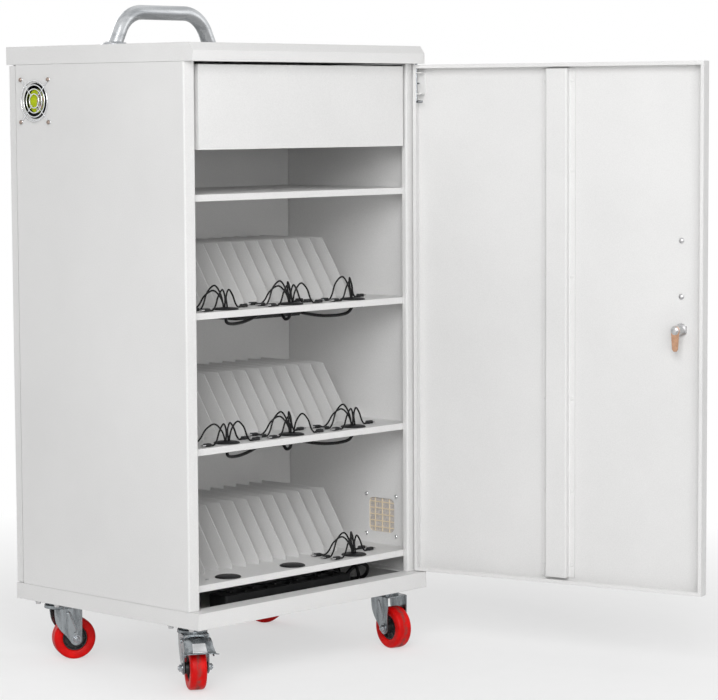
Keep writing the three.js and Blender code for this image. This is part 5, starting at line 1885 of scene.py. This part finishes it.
@dataclass
class PowerFittings(Fitting):
    """Socket rims, contacts, rocker switches and charger port linings, in millimetres.

    Heights are from a strip's face, and a port's span and heights from its charger's front and middle.
    """

    sockets: int = 5
    pitch: float = 58.0
    rim: Profile = ((17.2, -0.1), (20.5, -0.1), (20.2, 0.6), (19.6, 0.9), (17.4, 0.9))
    contact: Profile = ((2.0, 0), (3.4, 0), (3.4, 0.8), (2.0, 0.8))
    contact_reach: float = 6.8
    contact_floor: float = -9.9
    clip_half: Pair = (1.6, 0.9)
    clip_reach: float = 15.4
    clip_span: Pair = (-9.6, -2.5)
    rocker_x: float = 153.0
    rocker_half: Pair = (4.5, 6.0)
    rocker_taper: float = 0.5
    rocker_tops: Pair = (1.6, 3.4)
    ports: int = 6
    port_pitch: float = 24.0
    port_half: float = 5.4
    port_span: Pair = (1.5, 5.9)
    port_heights: Pair = (-0.8, 1.0)

    def build(self) -> None:
        """Make the fittings of the two strips and the two chargers."""
        strip, rear = NodeBox.of("power_strip"), NodeBox.of("rear_socket_strip")
        self._sockets("strip", spot(0, strip.middle[1], strip.high[2]))
        upright = Matrix.Rotation(math.radians(-90), 4, "X")
        self._sockets("rear_strip", spot(0, rear.high[1], rear.middle[2]) @ upright)
        for level in (Level.UPPER, Level.MIDDLE):
            self._ports(level)

    def _sockets(self, name: str, at: Matrix) -> None:
        """Make one strip's rims and contacts, and the rocker at its end.

        Args:
            name: the strip's word in the pieces' names.
            at: its face's place, the face towards +Z.
        """
        rims, contacts = Mould(), Mould()
        wide, thick = self.clip_half
        low, high = self.clip_span
        for x in in_row(self.sockets, self.pitch):
            rims.spun(self.rim, segments=48, turn=spot(x, 0, 0), closed=True)
            for side in SIDES:
                reach = side * self.contact_reach
                seat = spot(x + reach, reach, self.contact_floor)
                contacts.spun(self.contact, segments=20, turn=seat, closed=True)
            for side in SIDES:
                y = side * self.clip_reach
                contacts.slab((x - wide, y - thick, low), (x + wide, y + thick, high))
        rims.piece(f"{name}_rims", self.finishes.black, "cart", Slot.BLACK, at=at)
        contacts.piece(f"{name}_contacts", self.finishes.steel, "cart", Slot.BLACK, at=at)
        rocker = Mould().loft([self._rocker(0, (0, 0)), self._rocker(self.rocker_taper, self.rocker_tops)])
        rocker.piece(f"{name}_rocker", self.finishes.rocker, "cart", Slot.BLACK, bevel=0.4, at=at)

    def _rocker(self, taper: float, heights: Pair) -> list[Point]:
        """Draw a level or tilted section of the rocker.

        Args:
            taper: how far it is drawn in.
            heights: its height along the near and the far side.

        Returns:
            Its loop.
        """
        left, right = (self.rocker_x + side * (self.rocker_half[0] - taper) for side in SIDES)
        near, far = (side * (self.rocker_half[1] - taper) for side in SIDES)
        low, high = heights
        return [(left, near, low), (right, near, low), (right, far, high), (left, far, high)]

    def _ports(self, level: Level) -> None:
        """Make the metal shells inside one charger's ports.

        Args:
            level: the shelf above the charger.
        """
        box = NodeBox.of(f"usb_charger_{level.word}")
        front, back = (box.low[1] + depth for depth in self.port_span)
        low, high = (box.middle[2] + rise for rise in self.port_heights)
        shells = Mould()
        for x in in_row(self.ports, self.port_pitch):
            shells.slab((x - self.port_half, front, low), (x + self.port_half, back, high))
        shells.piece(f"charger_ports_{level.word}", self.finishes.steel, "cart", Slot.BLACK, bevel=0.2)


@dataclass
class VentGuard(Fitting):
    """The air inlet's guard: a frame with a grid on each side of a dust mat, in millimetres."""

    depth: float = 4.0
    plate: float = 88.0
    plate_corner: float = 5.0
    opening: float = 66.0
    corner: float = 10.0
    corner_steps: int = 8
    bar: float = 2.2
    bar_depth: float = 1.7
    bar_overlap: float = 0.6
    crossing: float = 0.05
    columns: int = 3
    column_pitch: float = 18.9
    rows: int = 5
    row_pitch: float = 12.4
    mat_overlap: float = 0.5
    mat_gap: float = 0.1

    def build(self) -> None:
        """Make the frame with its grids, and the mat."""
        box = NodeBox.of("vent_grille")
        at = spot(box.low[0], *box.middle[1:])
        guard = Mould()
        outer, inner = self._outline(self.plate, self.plate_corner), self._outline(self.opening, self.corner)
        faces = ((outer, 0), (outer, self.depth), (inner, self.depth), (inner, 0))
        guard.belt([[(x, y, z) for y, z in line] for line, x in faces])
        for near in (0.0, self.depth - self.bar_depth):
            self._grid(guard, near)
        made = guard.piece("vent_guard", self.finishes.cream, "cart", Slot.CREAM, bevel=0.25, at=at)
        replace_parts(made, "vent_grille")
        reach = self.opening / 2 + self.mat_overlap
        near = self.bar_depth + self.mat_gap
        mat = Mould().slab((near, -reach, -reach), (self.depth - near, reach, reach))
        mat.piece("vent_mat", self.finishes.felt, "cart", Slot.CREAM, at=at)

    def _outline(self, width: float, corner: float) -> list[Pair]:
        """Draw a square with round corners.

        Args:
            width: the square's side.
            corner: the corners' radius.

        Returns:
            Its points in Y and Z.
        """
        reach = width / 2 - corner
        points = []
        for quarter, (sy, sz) in enumerate(((1, 1), (-1, 1), (-1, -1), (1, -1))):
            for i in range(self.corner_steps + 1):
                angle = math.pi / 2 * (quarter + i / self.corner_steps)
                points.append((sy * reach + corner * math.cos(angle), sz * reach + corner * math.sin(angle)))
        return points

    def _grid(self, mould: Mould, near: float) -> None:
        """Add upright and level bars.

        Args:
            mould: takes them.
            near: the grid's nearer face.
        """
        half, reach = self.bar / 2, self.opening / 2 + self.bar_overlap
        far = near + self.bar_depth
        for y in in_row(self.columns, self.column_pitch):
            mould.slab((near, y - half, -reach), (far, y + half, reach))
        for z in in_row(self.rows, self.row_pitch):
            mould.slab((near + self.crossing, -reach, z - half), (far - self.crossing, reach, z + half))


@dataclass
class PanelScrews(Fitting):
    """Screws of the grille and of the shelves, in millimetres."""

    sheet: float = 1.2
    vent_half: float = 39.0
    vent_screw: Fastener = Fastener(8.0, 3.2)
    vent_nut: Fastener = Fastener(6.2, 3.0)
    vent_nut_seat: float = 5.5
    shelf_screw: Fastener = Fastener(6.5, 1.8)
    shelf_place: Pair = (-211.0, -178.0)

    def build(self) -> None:
        """Make all of them."""
        _, y, z = NodeBox.of("vent_grille").middle
        wall = NodeBox.of("right_side_panel").high[0] - self.sheet
        vent = Mould()
        for sy in SIDES:
            for sz in SIDES:
                at = spot(wall, y + sy * self.vent_half, z + sz * self.vent_half)
                self.vent_screw.pan(vent, at @ Axis.LEFT.turn)
                self.vent_nut.hex(vent, at @ spot(self.vent_nut_seat, 0, 0) @ Axis.RIGHT.turn)
        vent.piece("vent_screws", self.finishes.chrome, "cart", Slot.ZINC)
        shelf = Mould()
        for level in Level:
            self.shelf_screw.pan(shelf, spot(*self.shelf_place, level.value))
        shelf.piece("shelf_screws", self.finishes.steel, "cart", Slot.ZINC)


class Dressing:
    """Gives the frame's own solids their finishes."""

    def __init__(self, finishes: Finishes) -> None:
        """Map the record's slots, and single nodes, to finishes.

        Args:
            finishes: the cart's finishes.
        """
        self.by_slot = {
            Slot.COAT: finishes.coat,
            Slot.BLACK: finishes.black,
            Slot.JACKET: finishes.jacket,
            Slot.CHROME: finishes.chrome,
            Slot.ZINC: finishes.zinc,
            Slot.YELLOW: finishes.yellow,
            Slot.CREAM: finishes.cream,
            Slot.TREAD: finishes.tread,
        }
        # The door's spring bolt takes the dark nut finish as painted shade of its gap and underside.
        self.by_node = {"door_spring_bolt": finishes.nut, "lock_body": finishes.steel}

    def build(self) -> None:
        """Dress every node by its slot, or by its own name."""
        for part in frame["record"]["subparts"]:
            made = frame["nodes"][part["node"]]
            finish = self.by_node.get(part["node"], self.by_slot[Slot(part["material_slot"])])
            if not made.material_slots:
                made.data.materials.append(finish)
            for holder in made.material_slots:
                holder.material = finish
            LOG.info("dressed %s", part["node"])


@dataclass(frozen=True)
class Lamp:
    """A square soft lamp turned to a point, in metres and watts."""

    name: str
    place: Point
    aim: Point
    size: float
    power: float

    def hang(self) -> None:
        """Put the lamp in its place."""
        data = bpy.data.lights.new(self.name, "AREA")
        data.size = self.size
        data.energy = self.power
        made = bpy.data.objects.new(self.name, data)
        made.location = self.place
        made.rotation_euler = (Vector(self.aim) - Vector(self.place)).to_track_quat("-Z", "Y").to_euler()
        bpy.context.scene.collection.objects.link(made)


@dataclass
class Studio:
    """Camera, pale floor, soft lamps and white surroundings, in metres; the focal length is in pixels."""

    eye: Point = (-3.5540, -3.7188, 0.9176)
    yaw: float = -46.61
    pitch: float = -5.06
    roll: float = -0.30
    focal: float = 2724.44
    image_width: float = 718.0
    sensor: float = 36.0
    far_clip: float = 50.0
    floor_z: float = -0.1152
    floor_reach: float = 9.0
    floor_tones: Pair = (0.86, 0.9)
    floor_grain: float = 20.0
    floor_roughness: float = 0.9
    floor_gloss: float = 0.1
    fade: Pair = (0.75, 1.9)
    fade_near: float = 0.5
    even_light: float = 0.38
    lamps: tuple[Lamp, ...] = (
        Lamp("key_lamp", (-3.0, -2.6, 2.4), (0, 0, 0.5), size=2.2, power=96),
        Lamp("front_lamp", (-1.7, -3.6, 1.2), (0.1, 0, 0.55), size=1.8, power=33),
        Lamp("fill_lamp", (2.8, -3.2, 2.2), (0.1, 0, 0.5), size=2.4, power=12),
        Lamp("back_lamp", (0.6, 3.8, 1.7), (0, 0, 0.6), size=2.4, power=36),
    )

    def build(self) -> None:
        """Set the whole stage."""
        scene = bpy.context.scene
        scene.view_settings.view_transform = "Standard"
        self._camera(scene)
        self._floor(scene)
        self._world(scene)
        for lamp in self.lamps:
            lamp.hang()

    def _camera(self, scene: bpy.types.Scene) -> None:
        """Set the photograph's viewpoint.

        Args:
            scene: takes the camera.
        """
        yaw, pitch, roll = (math.radians(a) for a in (self.yaw, self.pitch, self.roll))
        ahead = Vector((-math.sin(yaw) * math.cos(pitch), math.cos(yaw) * math.cos(pitch), math.sin(pitch)))
        level = Vector((math.cos(yaw), math.sin(yaw), 0))
        upright = level.cross(ahead)
        right = level * math.cos(roll) + upright * math.sin(roll)
        up = upright * math.cos(roll) - level * math.sin(roll)
        data = bpy.data.cameras.new("photo_view")
        data.sensor_fit = "HORIZONTAL"
        data.sensor_width = self.sensor
        data.lens = self.focal * self.sensor / self.image_width
        data.clip_end = self.far_clip
        made = bpy.data.objects.new("photo_view", data)
        made.matrix_world = Matrix((right, up, -ahead)).transposed().to_4x4()
        made.matrix_world.translation = self.eye
        scene.collection.objects.link(made)
        scene.camera = made

    def _floor(self, scene: bpy.types.Scene) -> None:
        """Lay a pale floor that keeps the shadow near the cart and fades to white further out.

        Args:
            scene: takes the floor.
        """
        reach = self.floor_reach
        data = bpy.data.meshes.new("floor")
        corners = [(-reach, -reach, 0), (reach, -reach, 0), (reach, reach, 0), (-reach, reach, 0)]
        data.from_pydata(corners, [], [(0, 1, 2, 3)])
        data.materials.append(self._floor_finish())
        made = bpy.data.objects.new("floor", data)
        made.location.z = self.floor_z
        scene.collection.objects.link(made)

    def _floor_finish(self) -> bpy.types.Material:
        """Build the floor's finish, partly its own light for the rays of the eye.

        Returns:
            The material.
        """
        shade = Shade("pale_floor")
        x, y, _ = shade.parts(shade.place())
        far = shade.band((x * x + y * y) ** 0.5, *self.fade)
        dark, pale = ((tone, tone, tone) for tone in self.floor_tones)
        shade.set(Base_Color=shade.blend(shade.noise(self.floor_grain), dark, pale))
        shade.set(Roughness=self.floor_roughness, Specular_IOR_Level=self.floor_gloss)
        white = shade.node("ShaderNodeEmission", {}, {"Color": (1, 1, 1), "Strength": 1.0})
        lit = (shade.seen() * (far * (1 - self.fade_near) + self.fade_near)).clamped()
        painted = Signal(shade, shade.shader.outputs[0])
        mixed = shade.node("ShaderNodeMixShader", {}, {0: lit, 1: painted, 2: white})
        shade.feed(shade.tree.nodes["Material Output"].inputs["Surface"], mixed)
        return shade.material

    def _world(self, scene: bpy.types.Scene) -> None:
        """Make the surroundings white to the eye and in reflections, and an even pale light otherwise.

        Args:
            scene: takes the surroundings.
        """
        world = bpy.data.worlds.new("surroundings")
        world.use_nodes = True
        scene.world = world
        graph = Graph(world.node_tree)
        levels = {"Value": graph.seen(), "To Min": self.even_light, "To Max": 1.0}
        ground = graph.tree.nodes["Background"]
        graph.feed(ground.inputs["Color"], (1, 1, 1))
        graph.feed(ground.inputs["Strength"], graph.node("ShaderNodeMapRange", {}, levels))


def main() -> None:
    """Build the studio, the leads and every fitting in order."""
    logging.basicConfig(level=logging.INFO, format="%(message)s")
    finishes = Finishes()
    Studio().build()
    Dressing(finishes).build()
    for level in Level:
        for place in Place:
            runs = LEAD_SETS.get((level, place), ())
            grommet = Grommet(finishes, level, place, slotted=bool(runs))
            grommet.build()
            if runs:
                LeadBundle(finishes, grommet, runs).build()
    for corner in Corner:
        Castor(finishes, corner, braked=corner is Corner.FRONT_LEFT).build()
    for fitting in (PushHandle, Fan, FrontDoorFittings, PowerFittings, SupplyCord, VentGuard, PanelScrews):
        fitting(finishes).build()


if __name__ == "__main__":
    main()
